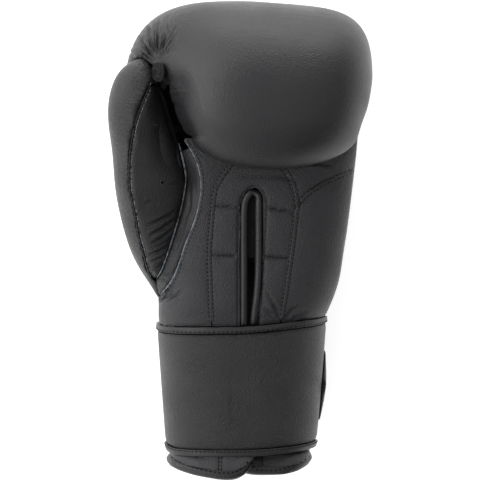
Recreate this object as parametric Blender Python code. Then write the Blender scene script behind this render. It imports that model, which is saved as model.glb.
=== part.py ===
# Kickboxing glove for the left hand, lying on its back with the palm up.
# X runs from the thumb side to the little-finger side, Y from the cuff to the knuckles, Z up.

import math

import bmesh
import bpy
import numpy as np

# Driving sizes, in metres
CUFF_LENGTH = 0.0986          # cuff mouth to the wrist line, where the strap's upper edge lies
HAND_LENGTH = 0.1244          # wrist line to the axis that the fist curls round
FIST_REACH = 0.0792           # fist axis to the knuckle front
FIST_WIDTH = 0.157
HAND_WIDTH = 0.129
PALM_HEIGHT = 0.088           # palm leather above the floor
FIST_AXIS_HEIGHT = 0.064
THUMB_RIM_HEIGHT = 0.056      # top of the pad's thumb-side wall
WRIST_RIM_HEIGHT = 0.044
ROLL_CLEARANCE = 0.0042       # palm leather to the underside of the roll
ROLL_THICKNESS = 0.0372
SIDE_WALL = 0.009
PALM_WALL = 0.003
PALM_PADDING = 0.030          # padding under the back of the hand
THUMB_PAD_WALL = 0.007
THUMB_INNER_WALL = 0.003
INNER_DENT = 0.0055           # how deep the thumb's inner leather sinks towards the roll
THUMB_DEPTH = 0.048
THUMB_HEIGHT = 0.079          # thumb's middle line above the floor, at the tip
AIR_HOLE_RADIUS = 0.0011
SLIT_BINDING_WIDTH = 0.0044
SLIT_BINDING_DEPTH = 0.0045
ELASTIC_THICKNESS = 0.0015
WRIST_WIDTH = 0.1075
WRIST_DEPTH = 0.0845
STRAP_WALL = 0.0032
STRAP_BINDING_WIDTH = 0.0042
STRAP_BINDING_WALL = 0.0041
CUFF_WALL = 0.0052
CUFF_BINDING_WIDTH = 0.0062
CUFF_BINDING_SWELL = 0.0009
FLAP_DROP = 0.0135            # how far the cuff's flaps hang past its back edge
TAB_WALL = 0.0024
LOCK_LENGTH = 0.0125
LOCK_WIDTH = 0.0085
LOCK_THICKNESS = 0.006
SHOULDER_FOLD_DEPTH = 0.0011
WEB_BULGE = 0.0008
TIP_SIZE = 0.0006             # least half-size of the thumb's two ends
GAP = 0.0004                  # air between neighbouring pieces
MERGE_DISTANCE = 0.00002

# Places that follow from the sizes
TOTAL_LENGTH = CUFF_LENGTH + HAND_LENGTH + FIST_REACH
MOUTH_Y = -TOTAL_LENGTH / 2
WRIST_Y = MOUTH_Y + CUFF_LENGTH
AXIS_Y = WRIST_Y + HAND_LENGTH
ROOF_HEIGHT = PALM_HEIGHT + ROLL_CLEARANCE
HALF_FIST = FIST_WIDTH / 2
HALF_HAND = HAND_WIDTH / 2
HALF_WRIST = WRIST_WIDTH / 2

# Leather colours, read as linear values
BLACK_LEATHER = (0.034, 0.034, 0.036)
INNER_LEATHER = (0.028, 0.028, 0.029)
BLACK_ELASTIC = (0.010, 0.010, 0.009)


class Table:
    """Rows chosen by hand, read along a smooth curve that never overshoots a row."""

    def __init__(self, names, rows):
        columns = np.array(rows, float).T
        self.key = columns[0]
        self.values = dict(zip(names.split()[1:], columns[1:]))

    def at(self, name, key):
        x, y = self.key, self.values[name]
        key = min(max(key, x[0]), x[-1])
        i = min(int(np.searchsorted(x, key, side="right")) - 1, len(x) - 2)
        rise = np.diff(y) / np.diff(x)
        slopes = np.concatenate([[rise[0]], (rise[:-1] + rise[1:]) / 2, [rise[-1]]])
        for k in range(1, len(x) - 1):
            if rise[k - 1] * rise[k] <= 0:
                slopes[k] = 0.0
            else:
                limit = 3 * min(abs(rise[k - 1]), abs(rise[k]))
                slopes[k] = math.copysign(min(abs(slopes[k]), limit), slopes[k])
        h = x[i + 1] - x[i]
        t = (key - x[i]) / h
        return float(
            (2 * t**3 - 3 * t**2 + 1) * y[i]
            + (t**3 - 2 * t**2 + t) * h * slopes[i]
            + (3 * t**2 - 2 * t**3) * y[i + 1]
            + (t**3 - t**2) * h * slopes[i + 1]
        )


# Hand sections from the wrist line (0) to the fist axis (1). Sides are shares of HALF_HAND,
# heights shares of PALM_HEIGHT, and rims go from the wrist's rim height (0) to the fist's (1).
HAND = Table("along left right back palm rim square", [
    (-0.05, -0.770, 0.775, 0.048, 0.902, 0.00, 2.5),
    (0.00, -0.795, 0.806, 0.045, 0.910, 0.00, 2.6),
    (0.06, -0.790, 0.872, 0.036, 0.930, 0.05, 2.7),
    (0.14, -0.795, 0.940, 0.018, 0.950, 0.15, 2.9),
    (0.22, -0.800, 0.988, 0.000, 0.962, 0.28, 3.0),
    (0.34, -0.805, 1.018, -0.018, 0.975, 0.42, 3.2),
    (0.46, -0.820, 1.057, -0.020, 0.985, 0.55, 3.2),
    (0.58, -0.845, 1.086, -0.018, 0.998, 0.66, 3.2),
    (0.73, -0.885, 1.120, -0.017, 1.000, 0.80, 3.2),
    (0.86, -0.935, 1.148, -0.016, 0.990, 0.90, 3.2),
    (1.00, -1.000, 1.170, -0.015, 0.970, 1.00, 3.1),
])

PALM_SEAT = 0.9477            # palm leather at the strap, as a share of WRIST_DEPTH
PALM_SEAT_REACH = 0.35

# The fist pad's profile round the fist axis, row by row from the back to the roll's underside.
# forward is a share of FIST_REACH; below the axis rise is a share of FIST_AXIS_HEIGHT, above it
# rise is the share of the way to the roof and swell a share of ROLL_THICKNESS. left and right are
# shares of HALF_FIST, rims are where each section ends towards the axis, and square_left and
# square_right say how full its corners are. The core columns are the hand compartment's wall.
FIST = Table(
    "row forward rise swell left right rim_left rim_right square_left square_right"
    " core_forward core_rise", [
        (0, 0.000, -1.020, 0.00, -0.830, 0.970, 0.00, 0.00, 3.0, 3.0, 0.000, -0.47),
        (1, 0.220, -1.020, 0.00, -0.850, 0.990, 0.05, 0.00, 3.0, 3.0, 0.090, -0.47),
        (2, 0.440, -0.955, 0.00, -0.880, 1.015, 0.12, 0.05, 3.0, 3.2, 0.190, -0.45),
        (3, 0.660, -0.820, 0.00, -0.905, 1.040, 0.20, 0.10, 3.1, 3.4, 0.330, -0.40),
        (4, 0.847, -0.610, 0.00, -0.925, 1.058, 0.28, 0.15, 3.4, 4.4, 0.470, -0.29),
        (5, 0.970, -0.320, 0.00, -0.930, 1.070, 0.35, 0.20, 3.5, 5.6, 0.580, -0.14),
        (6, 1.000, 0.000, 0.00, -0.930, 1.075, 0.42, 0.25, 3.5, 6.0, 0.620, 0.10),
        (7, 0.955, 0.500, 0.17, -0.895, 1.072, 0.50, 0.30, 3.0, 5.4, 0.570, 0.55),
        (8, 0.830, 0.880, 0.37, -0.790, 1.066, 0.57, 0.34, 2.2, 4.4, 0.460, 0.84),
        (9, 0.655, 1.000, 0.65, -0.660, 1.058, 0.64, 0.38, 2.1, 3.6, 0.360, 0.95),
        (10, 0.440, 1.000, 0.86, -0.580, 1.045, 0.72, 0.42, 2.3, 3.1, 0.280, 0.99),
        (11, 0.220, 1.000, 0.97, -0.530, 1.022, 0.80, 0.46, 2.6, 2.8, 0.210, 1.00),
        (12, 0.000, 1.000, 1.00, -0.490, 1.000, 0.86, 0.50, 2.7, 2.6, 0.160, 1.00),
        (13, -0.200, 1.000, 0.84, -0.475, 0.990, 0.91, 0.54, 2.3, 2.3, 0.120, 1.00),
        (14, -0.295, 1.000, 0.67, -0.455, 0.987, 0.94, 0.57, 2.1, 2.15, 0.095, 1.00),
        (15, -0.355, 1.000, 0.46, -0.445, 0.985, 0.96, 0.60, 2.0, 2.1, 0.070, 1.00),
        (16, -0.350, 1.000, 0.24, -0.445, 0.980, 0.97, 0.62, 2.0, 2.1, 0.045, 1.00),
        (17, -0.270, 1.000, 0.10, -0.450, 0.975, 0.98, 0.63, 2.1, 2.2, 0.020, 1.00),
        (18, -0.147, 1.000, 0.03, -0.460, 0.970, 0.98, 0.64, 2.2, 2.3, -0.005, 1.00),
        (19, -0.050, 1.000, 0.004, -0.470, 0.965, 0.98, 0.64, 2.3, 2.4, -0.030, 1.00),
    ])

# Seams of the palm side: place along the hand, and across it as a share of HALF_HAND.
WEB_OUTER_EDGE = Table("along across", [
    (0.217, -0.820), (0.268, -0.752), (0.324, -0.713), (0.400, -0.664), (0.481, -0.615),
    (0.567, -0.566), (0.643, -0.538), (0.723, -0.513), (0.785, -0.527), (0.870, -0.566),
])
WEB_PALM_EDGE = Table("along across", [
    (0.137, -0.780), (0.192, -0.679), (0.248, -0.636), (0.324, -0.566), (0.390, -0.527),
    (0.465, -0.468), (0.511, -0.430), (0.587, -0.391), (0.678, -0.361), (0.744, -0.370),
    (0.820, -0.411), (0.886, -0.479), (0.940, -0.540),
])
THUMB_SEAM = Table("along across", [
    (0.217, -0.820), (0.263, -0.899), (0.359, -0.929), (0.445, -0.977), (0.557, -1.006),
    (0.653, -1.054), (0.734, -1.065), (0.870, -1.054), (1.022, -0.997), (1.130, -0.930),
    (1.200, -0.859),
])
SLIT_PANEL_LEFT = Table("along across", [
    (-0.05, -0.266), (0.010, -0.268), (0.318, -0.289), (0.415, -0.284), (0.531, -0.264),
    (0.622, -0.248), (0.686, -0.225), (0.764, -0.127), (0.810, -0.049), (0.930, 0.100),
])
SLIT_PANEL_RIGHT = Table("along across", [
    (-0.05, 0.395), (0.014, 0.411), (0.096, 0.430), (0.273, 0.488), (0.420, 0.527),
    (0.562, 0.557), (0.633, 0.566), (0.709, 0.509), (0.769, 0.441), (0.930, 0.320),
])
# The branch seam of the little-finger side, from the slit panel (0) to the outer edge (1)
BRANCH_SEAM = Table("across along", [
    (0.00, 0.575), (0.03, 0.602), (0.07, 0.648), (0.148, 0.683), (0.26, 0.719), (0.45, 0.749),
    (1.00, 0.774),
])
# Upper end of the palm leather under the roll, from the thumb side (0) to the outer edge (1)
PALM_END = Table("across along", [(0.0, 0.930), (0.3, 0.945), (0.7, 0.975), (1.0, 0.982)])

# Thumb sections along the hand: middle and half-width as shares of HALF_HAND, half-depth as a
# share of THUMB_DEPTH, and height as a share of THUMB_HEIGHT.
THUMB = Table("along middle half_width half_depth height", [
    (0.130, -0.787, 0.016, 0.036, 0.640),
    (0.190, -0.805, 0.062, 0.120, 0.690),
    (0.250, -0.817, 0.134, 0.235, 0.747),
    (0.310, -0.824, 0.196, 0.318, 0.782),
    (0.420, -0.846, 0.258, 0.385, 0.830),
    (0.580, -0.861, 0.325, 0.450, 0.890),
    (0.740, -0.871, 0.361, 0.470, 0.925),
    (0.880, -0.900, 0.345, 0.465, 0.960),
    (1.000, -0.960, 0.322, 0.445, 0.985),
    (1.130, -0.992, 0.288, 0.400, 1.000),
    (1.215, -1.000, 0.232, 0.330, 1.010),
    (1.285, -0.985, 0.165, 0.240, 1.015),
    (1.322, -0.960, 0.095, 0.140, 1.015),
    (1.338, -0.945, 0.030, 0.045, 1.015),
])

INNER_DENT_START, INNER_DENT_END, INNER_DENT_SPAN = 0.45, 1.10, 0.16

# The wrist slit: place along the hand, and its two edges as shares of HALF_HAND
SLIT = Table("along left right", [
    (-0.030, 0.083, 0.101), (0.010, 0.083, 0.104), (0.080, 0.083, 0.126), (0.200, 0.083, 0.150),
    (0.335, 0.083, 0.158), (0.500, 0.083, 0.158), (0.600, 0.085, 0.156), (0.660, 0.102, 0.152),
])
SLIT_TOP_ALONG = 0.680
SLIT_FOOT_ALONG = -0.028

# Wrist sections from the mouth (0) to the wrist line (1): half-widths as shares of HALF_WRIST,
# heights as shares of WRIST_DEPTH, all at the strap's outer face.
WRIST = Table("along left right back top", [
    (0.000, -0.868, 0.858, 0.004, 0.915),
    (0.130, -0.868, 0.866, 0.000, 0.925),
    (0.200, -0.878, 0.915, 0.000, 0.930),
    (0.420, -0.912, 0.965, 0.000, 0.955),
    (0.700, -0.946, 1.008, 0.000, 0.980),
    (1.000, -0.986, 1.045, 0.000, 1.000),
    (1.060, -0.989, 1.050, 0.000, 1.004),
])
WRIST_MIDDLE = 0.45           # height of the widest line, as a share of WRIST_DEPTH
WRIST_SQUARE = 2.5

# Edges of the strap and of the cuff's mouth round the wrist. turn is in degrees, 0 at the
# little-finger side, 90 over the palm, 180 at the thumb; drops are shares of FLAP_DROP.
STRAP_TOP = Table("turn drop", [
    (-30, -0.10), (0, -0.33), (45, -0.13), (90, 0.16), (135, 0.19), (180, 0.00), (270, -0.15),
    (330, -0.10), (360, -0.33),
])
STRAP_FOOT = Table("turn drop", [
    (-30, -0.04), (0, -0.10), (30, 0.03), (60, 0.22), (90, 0.33), (115, 0.33), (150, 0.25),
    (180, 0.00), (270, -0.08), (330, -0.04),
])
STRAP_FOOT_ALONG = 0.195      # strap's lower edge, as a share of CUFF_LENGTH
CUFF_MOUTH = Table("turn drop", [
    (79, 0.30), (80.5, 0.50), (84, 0.76), (89, 0.95), (96, 1.00), (110, 0.93), (126, 0.76),
    (146, 0.50), (172, 0.10), (200, 0.00), (270, -0.10), (340, -0.20), (362, -0.12), (385, 0.35),
    (400, 0.60), (415, 0.76), (432, 0.77), (446, 0.66), (457, 0.40),
])
CUFF_START, CUFF_END = 79.0, 457.0
FLAP_TUCK_START, FLAP_TUCK_END = 402.0, 428.0
STRAP_START, STRAP_END = -25.0, 329.0
TAB_START, TAB_END = 324.0, 366.0
TAB_MIDDLE, TAB_HALF = 0.595, 0.225     # shares of CUFF_LENGTH
TAB_EDGE = 0.3                # share of the tab's wall that is left at its two long ends


def y_of_hand(along):
    return WRIST_Y + along * HAND_LENGTH


def y_of_wrist(along):
    return MOUTH_Y + along * CUFF_LENGTH


def lerp(a, b, t):
    return a + (b - a) * t


def smooth_step(t):
    t = min(max(t, 0.0), 1.0)
    return t * t * (3 - 2 * t)


def material(name, colour, roughness):
    made = bpy.data.materials.get(name)
    if made is None:
        made = bpy.data.materials.new(name)
        made.use_nodes = True
        shader = made.node_tree.nodes["Principled BSDF"]
        shader.inputs["Base Color"].default_value = (*colour, 1.0)
        shader.inputs["Roughness"].default_value = roughness
        shader.inputs["Metallic"].default_value = 0.0
    return made


def leather():
    return material("black_leather", BLACK_LEATHER, 0.46)


def inner_leather():
    return material("thin_leather", INNER_LEATHER, 0.55)


def elastic():
    return material("elastic", BLACK_ELASTIC, 0.85)


def solid(name, points, faces, finish):
    """An object from points and faces, with every face turned outwards."""
    mesh = bpy.data.meshes.new(name)
    mesh.from_pydata([tuple(p) for p in points], [], faces)
    shape = bmesh.new()
    shape.from_mesh(mesh)
    bmesh.ops.remove_doubles(shape, verts=shape.verts, dist=MERGE_DISTANCE)
    bmesh.ops.recalc_face_normals(shape, faces=shape.faces)
    if shape.calc_volume(signed=True) < 0:
        bmesh.ops.reverse_faces(shape, faces=shape.faces)
    shape.to_mesh(mesh)
    shape.free()
    mesh.shade_smooth()
    mesh.set_sharp_from_angle(angle=math.radians(40))
    made = bpy.data.objects.new(name, mesh)
    bpy.context.collection.objects.link(made)
    mesh.materials.append(finish)
    return made


def sheet(name, outer, inner, finish):
    """A closed wall between two grids of points, outer[i][j] and inner[i][j]."""
    rows, cols = len(outer), len(outer[0])
    points = [p for row in outer for p in row] + [p for row in inner for p in row]
    shift = rows * cols

    def at(i, j, side):
        return side * shift + i * cols + j

    faces = []
    for i in range(rows - 1):
        for j in range(cols - 1):
            faces.append((at(i, j, 0), at(i + 1, j, 0), at(i + 1, j + 1, 0), at(i, j + 1, 0)))
            faces.append((at(i, j, 1), at(i, j + 1, 1), at(i + 1, j + 1, 1), at(i + 1, j, 1)))
        for j in (0, cols - 1):
            faces.append((at(i, j, 0), at(i, j, 1), at(i + 1, j, 1), at(i + 1, j, 0)))
    for j in range(cols - 1):
        for i in (0, rows - 1):
            faces.append((at(i, j, 0), at(i, j + 1, 0), at(i, j + 1, 1), at(i, j, 1)))
    return solid(name, points, faces, finish)


def cut(target, cutter):
    """Takes the cutter's shape out of the target and removes the cutter."""
    step = target.modifiers.new("cut", "BOOLEAN")
    step.operation = "DIFFERENCE"
    step.solver = "EXACT"
    step.object = cutter
    apply_modifiers(target)
    bpy.data.objects.remove(cutter)


def keep(target, cutter):
    """Keeps only what the target and the cutter share, and removes the cutter."""
    step = target.modifiers.new("keep", "BOOLEAN")
    step.operation = "INTERSECT"
    step.solver = "EXACT"
    step.object = cutter
    apply_modifiers(target)
    bpy.data.objects.remove(cutter)


def apply_modifiers(target):
    graph = bpy.context.evaluated_depsgraph_get()
    made = bpy.data.meshes.new_from_object(target.evaluated_get(graph))
    target.modifiers.clear()
    target.data = made


def oval(angle, square):
    """Side and height shares of a squared oval's point, at an angle from its top."""
    s, c = abs(math.sin(angle)), abs(math.cos(angle))
    reach = (s**square + c**square) ** (-1 / square)
    return math.copysign(reach * s, angle), reach * c


def oval_angle(side, square):
    """The angle at which a squared oval has this side share."""
    size = min(abs(side), 0.99999)
    height = (1 - size**square) ** (1 / square)
    return math.copysign(math.atan2(size, height), side)


def hand_section(along):
    """Sides, heights and fullness of the hand at one place along it."""
    rim = HAND.at("rim", along)
    seat = PALM_SEAT * WRIST_DEPTH - HAND.at("palm", 0.0) * PALM_HEIGHT
    return {
        "y": y_of_hand(along),
        "left": HAND.at("left", along) * HALF_HAND,
        "right": HAND.at("right", along) * HALF_HAND,
        "back": HAND.at("back", along) * PALM_HEIGHT,
        "palm": HAND.at("palm", along) * PALM_HEIGHT + seat * (1 - smooth_step(along / PALM_SEAT_REACH)),
        "rim_left": lerp(WRIST_RIM_HEIGHT, THUMB_RIM_HEIGHT, rim),
        "rim_right": lerp(WRIST_RIM_HEIGHT, FIST_AXIS_HEIGHT, rim),
        "square": HAND.at("square", along),
    }


def palm_point(along, angle, depth=0.0):
    """A point of the palm leather, at an angle from the section's top and a depth below it."""
    s = hand_section(along)
    side, height = oval(angle, s["square"])
    middle = (s["left"] + s["right"]) / 2
    half = (s["right"] - s["left"]) / 2 - depth
    rim = s["rim_left"] if side < 0 else s["rim_right"]
    blend = abs(side)
    rim = lerp((s["rim_left"] + s["rim_right"]) / 2, rim, smooth_step(blend))
    return (middle + side * half, s["y"], rim + height * (s["palm"] - depth - rim))


def palm_angle(along, x):
    """The palm angle at which the leather passes this x."""
    s = hand_section(along)
    middle = (s["left"] + s["right"]) / 2
    return oval_angle((x - middle) / ((s["right"] - s["left"]) / 2), s["square"])


def palm_height(x, y, depth=0.0):
    """Height of the palm leather over a place in plan."""
    along = (y - WRIST_Y) / HAND_LENGTH
    s = hand_section(along)
    middle = (s["left"] + s["right"]) / 2
    half = (s["right"] - s["left"]) / 2 - depth
    angle = oval_angle((x - middle) / half, s["square"])
    return palm_point(along, angle, depth)[2]


def thumb_section(along, shrink=0.0, shift_x=0.0, shift_z=0.0):
    """Middle, half-width and half-depth of the thumb at one place along the hand."""
    return (
        THUMB.at("middle", along) * HALF_HAND + shift_x,
        THUMB.at("height", along) * THUMB_HEIGHT + shift_z,
        max(THUMB.at("half_width", along) * HALF_HAND - shrink, TIP_SIZE),
        max(THUMB.at("half_depth", along) * THUMB_DEPTH - shrink, TIP_SIZE),
    )


def inner_dent(x, along):
    """How far the thumb's inner face sinks between its seam and its far side."""
    x_mid, z_mid, half_x, half_z = thumb_section(along)
    seam = THUMB_SEAM.at("across", along) * HALF_HAND
    share = min(max((x - seam) / max(x_mid + half_x - seam, half_x), 0.0), 1.0)
    fade = smooth_step((along - INNER_DENT_START) / INNER_DENT_SPAN)
    fade *= 1 - smooth_step((along - INNER_DENT_END) / INNER_DENT_SPAN)
    return INNER_DENT * fade * (4 * share * (1 - share)) ** 0.8


def thumb_height(x, y):
    """Height of the thumb's upper face over a place in plan."""
    along = (y - WRIST_Y) / HAND_LENGTH
    x_mid, z_mid, half_x, half_z = thumb_section(along)
    side = min(abs(x - x_mid) / half_x, 1.0)
    return z_mid + half_z * math.sqrt(1 - side * side) - inner_dent(x, along)


# The padded shell

SHELL_COLUMNS = 20
HAND_STATIONS = (-0.042, 0.00, 0.07, 0.15, 0.25, 0.38, 0.52, 0.66, 0.80, 0.91, 0.975)
FIST_STATIONS = 27
FIST_ROWS = 19
CHEEK_ANGLE = math.radians(72)
FIST_TAPER = 0.07             # how much less the little finger's side reaches forward


def fist_station(row, grow):
    """Outer and core profile points of one row of the fist, and how wide they are."""
    rise, swell = FIST.at("rise", row), FIST.at("swell", row)
    core_rise = FIST.at("core_rise", row)
    up = ROOF_HEIGHT - FIST_AXIS_HEIGHT
    down = FIST_AXIS_HEIGHT
    z = FIST_AXIS_HEIGHT + rise * (up if rise > 0 else down) + swell * ROLL_THICKNESS
    core_z = FIST_AXIS_HEIGHT + core_rise * (up if core_rise > 0 else down)
    y = AXIS_Y + FIST.at("forward", row) * FIST_REACH
    away = math.hypot(y - AXIS_Y, z - FIST_AXIS_HEIGHT)
    y += grow * (y - AXIS_Y) / away
    z += grow * (z - FIST_AXIS_HEIGHT) / away
    roof_rim = ROOF_HEIGHT - 0.3 * ROLL_CLEARANCE
    return {
        "y": y,
        "z": z,
        "core_y": AXIS_Y + FIST.at("core_forward", row) * FIST_REACH,
        "core_z": core_z,
        "left": FIST.at("left", row) * HALF_FIST - grow,
        "right": FIST.at("right", row) * HALF_FIST + grow,
        "rim_left": lerp(THUMB_RIM_HEIGHT, roof_rim, FIST.at("rim_left", row)),
        "rim_right": lerp(FIST_AXIS_HEIGHT, roof_rim, FIST.at("rim_right", row)),
        "square_left": FIST.at("square_left", row),
        "square_right": FIST.at("square_right", row),
    }


# Gathers of the fist's thumb-side shoulder, which fan out from the thumb's tip
GATHER_X, GATHER_Y = -0.64, 0.49          # shares of HALF_FIST and FIST_REACH
GATHER_COUNT = 5.5
GATHER_START, GATHER_SPAN = math.radians(78), math.radians(82)
GATHER_REACH = 0.60                       # share of FIST_REACH


def gather_depth(x, y, z):
    """How deep the shoulder's folds are at a point."""
    dx = x - GATHER_X * HALF_FIST
    dy = y - (AXIS_Y + GATHER_Y * FIST_REACH)
    away = math.hypot(dx, dy)
    turn = (math.atan2(dy, dx) - GATHER_START) / GATHER_SPAN
    if z < FIST_AXIS_HEIGHT * 0.7 or not 0 < turn < 1:
        return 0.0
    fade = math.sin(math.pi * turn) ** 0.5 * max(0.0, 1 - away / (GATHER_REACH * FIST_REACH))
    return SHOULDER_FOLD_DEPTH * fade * (0.5 - 0.5 * math.cos(2 * math.pi * GATHER_COUNT * turn))


def shell_rings(grow):
    """Outer and core rows of points, from the wrist to the roll's underside."""
    outer, core = [], []
    for along in HAND_STATIONS:
        s = hand_section(along)
        ring, inside = [], []
        for j in range(SHELL_COLUMNS + 1):
            angle = math.radians(lerp(-90, 90, j / SHELL_COLUMNS))
            side, height = oval(angle, s["square"])
            middle = (s["left"] + s["right"]) / 2
            half = (s["right"] - s["left"]) / 2 + grow
            rim = s["rim_left"] if side < 0 else s["rim_right"]
            rim = lerp((s["rim_left"] + s["rim_right"]) / 2, rim, smooth_step(abs(side)))
            depth = max(rim + height * (s["back"] - rim), 0.0 if grow == 0 else -grow)
            ring.append((middle + side * half, s["y"], depth))
            core_back = s["back"] + lerp(SIDE_WALL, PALM_PADDING, smooth_step((along + 0.04) / 0.4))
            half_core = half - grow - SIDE_WALL
            inside.append((middle + side * half_core, s["y"], rim + height * (core_back - rim)))
        outer.append(ring)
        core.append(inside)
    for k in range(FIST_STATIONS + 1):
        row = FIST_ROWS * k / FIST_STATIONS
        s = fist_station(row, grow)
        middle = (s["left"] + s["right"]) / 2
        half = (s["right"] - s["left"]) / 2
        ring, inside = [], []
        for j in range(SHELL_COLUMNS + 1):
            angle = lerp(-CHEEK_ANGLE, CHEEK_ANGLE, j / SHELL_COLUMNS)
            end = "left" if angle < 0 else "right"
            side, height = oval(angle, s["square_" + end])
            rim = lerp((s["rim_left"] + s["rim_right"]) / 2, s["rim_" + end], smooth_step(abs(side)))
            x = middle + side * half
            forward = s["y"] - AXIS_Y
            y = AXIS_Y + height * forward * (1 - FIST_TAPER * max(side, 0.0) * (forward > 0))
            z = max(rim + height * (s["z"] - rim), 0.0 if grow == 0 else -grow)
            sink = gather_depth(x, y, z) if grow == 0 else 0.0
            ring.append((x, y - sink * 0.5, z - sink))
            wall = SIDE_WALL * lerp(1.25, 2.6, smooth_step(-side) * smooth_step((row - 4) / 3))
            inside.append((
                middle + side * (half - grow - wall),
                AXIS_Y + height * (s["core_y"] - AXIS_Y),
                rim + height * (s["core_z"] - rim),
            ))
        outer.append(ring)
        core.append(inside)
    return outer, core


def shell_body(name, grow):
    """The pad over the back of the hand and round the fist, with the hand compartment open."""
    outer, core = shell_rings(grow)
    rows, cols = len(outer), SHELL_COLUMNS + 1
    points = [p for ring in outer for p in ring] + [p for ring in core for p in ring]
    shift = rows * cols
    first = len(HAND_STATIONS)

    def at(i, j, side):
        return side * shift + i * cols + j

    faces = []
    for i in range(rows - 1):
        for j in range(cols - 1):
            faces.append((at(i, j, 0), at(i + 1, j, 0), at(i + 1, j + 1, 0), at(i, j + 1, 0)))
            faces.append((at(i, j, 1), at(i, j + 1, 1), at(i + 1, j + 1, 1), at(i + 1, j, 1)))
    for j in range(cols - 1):
        for i in (0, rows - 1):
            faces.append((at(i, j, 0), at(i, j + 1, 0), at(i, j + 1, 1), at(i, j, 1)))
    for j in (0, cols - 1):
        for i in range(first - 1):
            faces.append((at(i, j, 0), at(i, j, 1), at(i + 1, j, 1), at(i + 1, j, 0)))
        hubs = []
        for side, rings in ((0, outer), (1, core)):
            rim = THUMB_RIM_HEIGHT if j == 0 else FIST_AXIS_HEIGHT
            points.append((rings[first][j][0], AXIS_Y, rim + GAP))
            hub = len(points) - 1
            hubs.append(hub)
            for i in range(first - 1, rows - 1):
                faces.append((at(i, j, side), at(i + 1, j, side), hub))
        faces.append((at(first - 1, j, 0), at(first - 1, j, 1), hubs[1], hubs[0]))
        faces.append((at(rows - 1, j, 0), hubs[0], hubs[1], at(rows - 1, j, 1)))
    return solid(name, points, faces, leather())


def padded_shell():
    made = shell_body("padded_shell", 0.0)
    cut(made, thumb_cutter())
    cut(made, strap_cutter(STRAP_BINDING_WALL + GAP))
    return made


# The palm leather

RIM_ANGLE = math.radians(88.5)
WEB_TURN_START, WEB_TURN_SPAN = 0.13, 0.05      # where the thumb's web leaves the pad's rim


def seam_angle(seam, along, offset):
    """Palm angle of a seam, moved across by an offset."""
    return palm_angle(along, seam.at("across", along) * HALF_HAND + offset)


PALM_STATIONS = (-0.040, 0.030, 0.100, 0.170, 0.250, 0.330, 0.410, 0.490, 0.575, 0.630, 0.680,
                 0.720, 0.770, 0.820, 0.870, 0.930)
HALF_GAP_ALONG = GAP / 2 / HAND_LENGTH


def panel(name, left, right, low, high, across):
    """A palm panel between two side lines and two ends, as shares along the hand."""
    stations = [a for a in PALM_STATIONS if low(0) - HALF_GAP_ALONG <= a <= high(0) + HALF_GAP_ALONG]
    first, last = stations[0], stations[-1]
    outer, inner = [], []
    for i in range(across + 1):
        u = i / across
        outer.append([])
        inner.append([])
        for station in stations:
            along = lerp(low(u), high(u), (station - first) / (last - first))
            angle = lerp(left(along), right(along), u)
            outer[-1].append(palm_point(along, angle))
            inner[-1].append(palm_point(along, angle, PALM_WALL))
    return sheet(name, outer, inner, leather())


def palm_foot(u):
    return PALM_STATIONS[0]


def palm_end(u):
    return PALM_STATIONS[-1]


def palm_thumb_side():
    def left(along):
        edge = seam_angle(WEB_PALM_EDGE, along, GAP / 2)
        return lerp(-RIM_ANGLE, edge, smooth_step((along - WEB_TURN_START) / WEB_TURN_SPAN))

    made = panel("palm_thumb_side", left, lambda a: seam_angle(SLIT_PANEL_LEFT, a, -GAP / 2),
                 palm_foot, palm_end, 7)
    cut(made, thumb_cutter())
    cut(made, web_cutter())
    cut(made, strap_cutter(PANEL_TRIM))
    return made


def palm_centre():
    made = panel("palm_centre", lambda a: seam_angle(SLIT_PANEL_LEFT, a, GAP / 2),
                 lambda a: seam_angle(SLIT_PANEL_RIGHT, a, -GAP / 2), palm_foot, palm_end, 6)
    cut(made, slit_cutter())
    cut(made, strap_cutter(PANEL_TRIM))
    return made


def palm_heel():
    made = panel("palm_heel", lambda a: seam_angle(SLIT_PANEL_RIGHT, a, GAP / 2),
                 lambda a: RIM_ANGLE, palm_foot,
                 lambda u: BRANCH_SEAM.at("along", u) - HALF_GAP_ALONG, 10)
    cut(made, strap_cutter(PANEL_TRIM))
    return made


def palm_finger_side():
    return panel("palm_finger_side",
                 lambda a: seam_angle(SLIT_PANEL_RIGHT, a, GAP / 2), lambda a: RIM_ANGLE,
                 lambda u: BRANCH_SEAM.at("along", u) + HALF_GAP_ALONG,
                 lambda u: PALM_END.at("along", u), 10)


# The wrist slit

SLIT_ARCH_STEPS = 8
SLIT_SIDE_STEPS = 7
SLIT_ARCH_FOOT = 0.595        # where the slit's straight sides end, along the hand
SLIT_BINDING_ROUND = (-0.13, 0.09, 0.20, 0.13, -0.09)      # shares of SLIT_BINDING_DEPTH
ELASTIC_ENDS = (0.33, 0.655)
ELASTIC_SIDE = 1.8            # how far it goes past the slit, as a share of the binding


def slit_path(offset):
    """Plan points round the slit at an offset from its edge, from the left foot to the right."""
    left, right = [], []
    for i in range(SLIT_SIDE_STEPS + 1):
        along = lerp(SLIT_FOOT_ALONG, SLIT_ARCH_FOOT, i / SLIT_SIDE_STEPS)
        left.append((SLIT.at("left", along) * HALF_HAND - offset, y_of_hand(along)))
        right.append((SLIT.at("right", along) * HALF_HAND + offset, y_of_hand(along)))
    half = (right[-1][0] - left[-1][0]) / 2
    middle = (right[-1][0] + left[-1][0]) / 2
    slant = 0.35 * SLIT_BINDING_WIDTH
    rise = (SLIT_TOP_ALONG - SLIT_ARCH_FOOT) * HAND_LENGTH - SLIT_BINDING_WIDTH + offset
    arch = []
    for i in range(1, SLIT_ARCH_STEPS):
        turn = math.pi * (1 - i / SLIT_ARCH_STEPS)
        up = math.sin(turn)
        arch.append((middle + half * math.cos(turn) + slant * up, left[-1][1] + rise * up))
    return left + arch + right[::-1]


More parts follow.
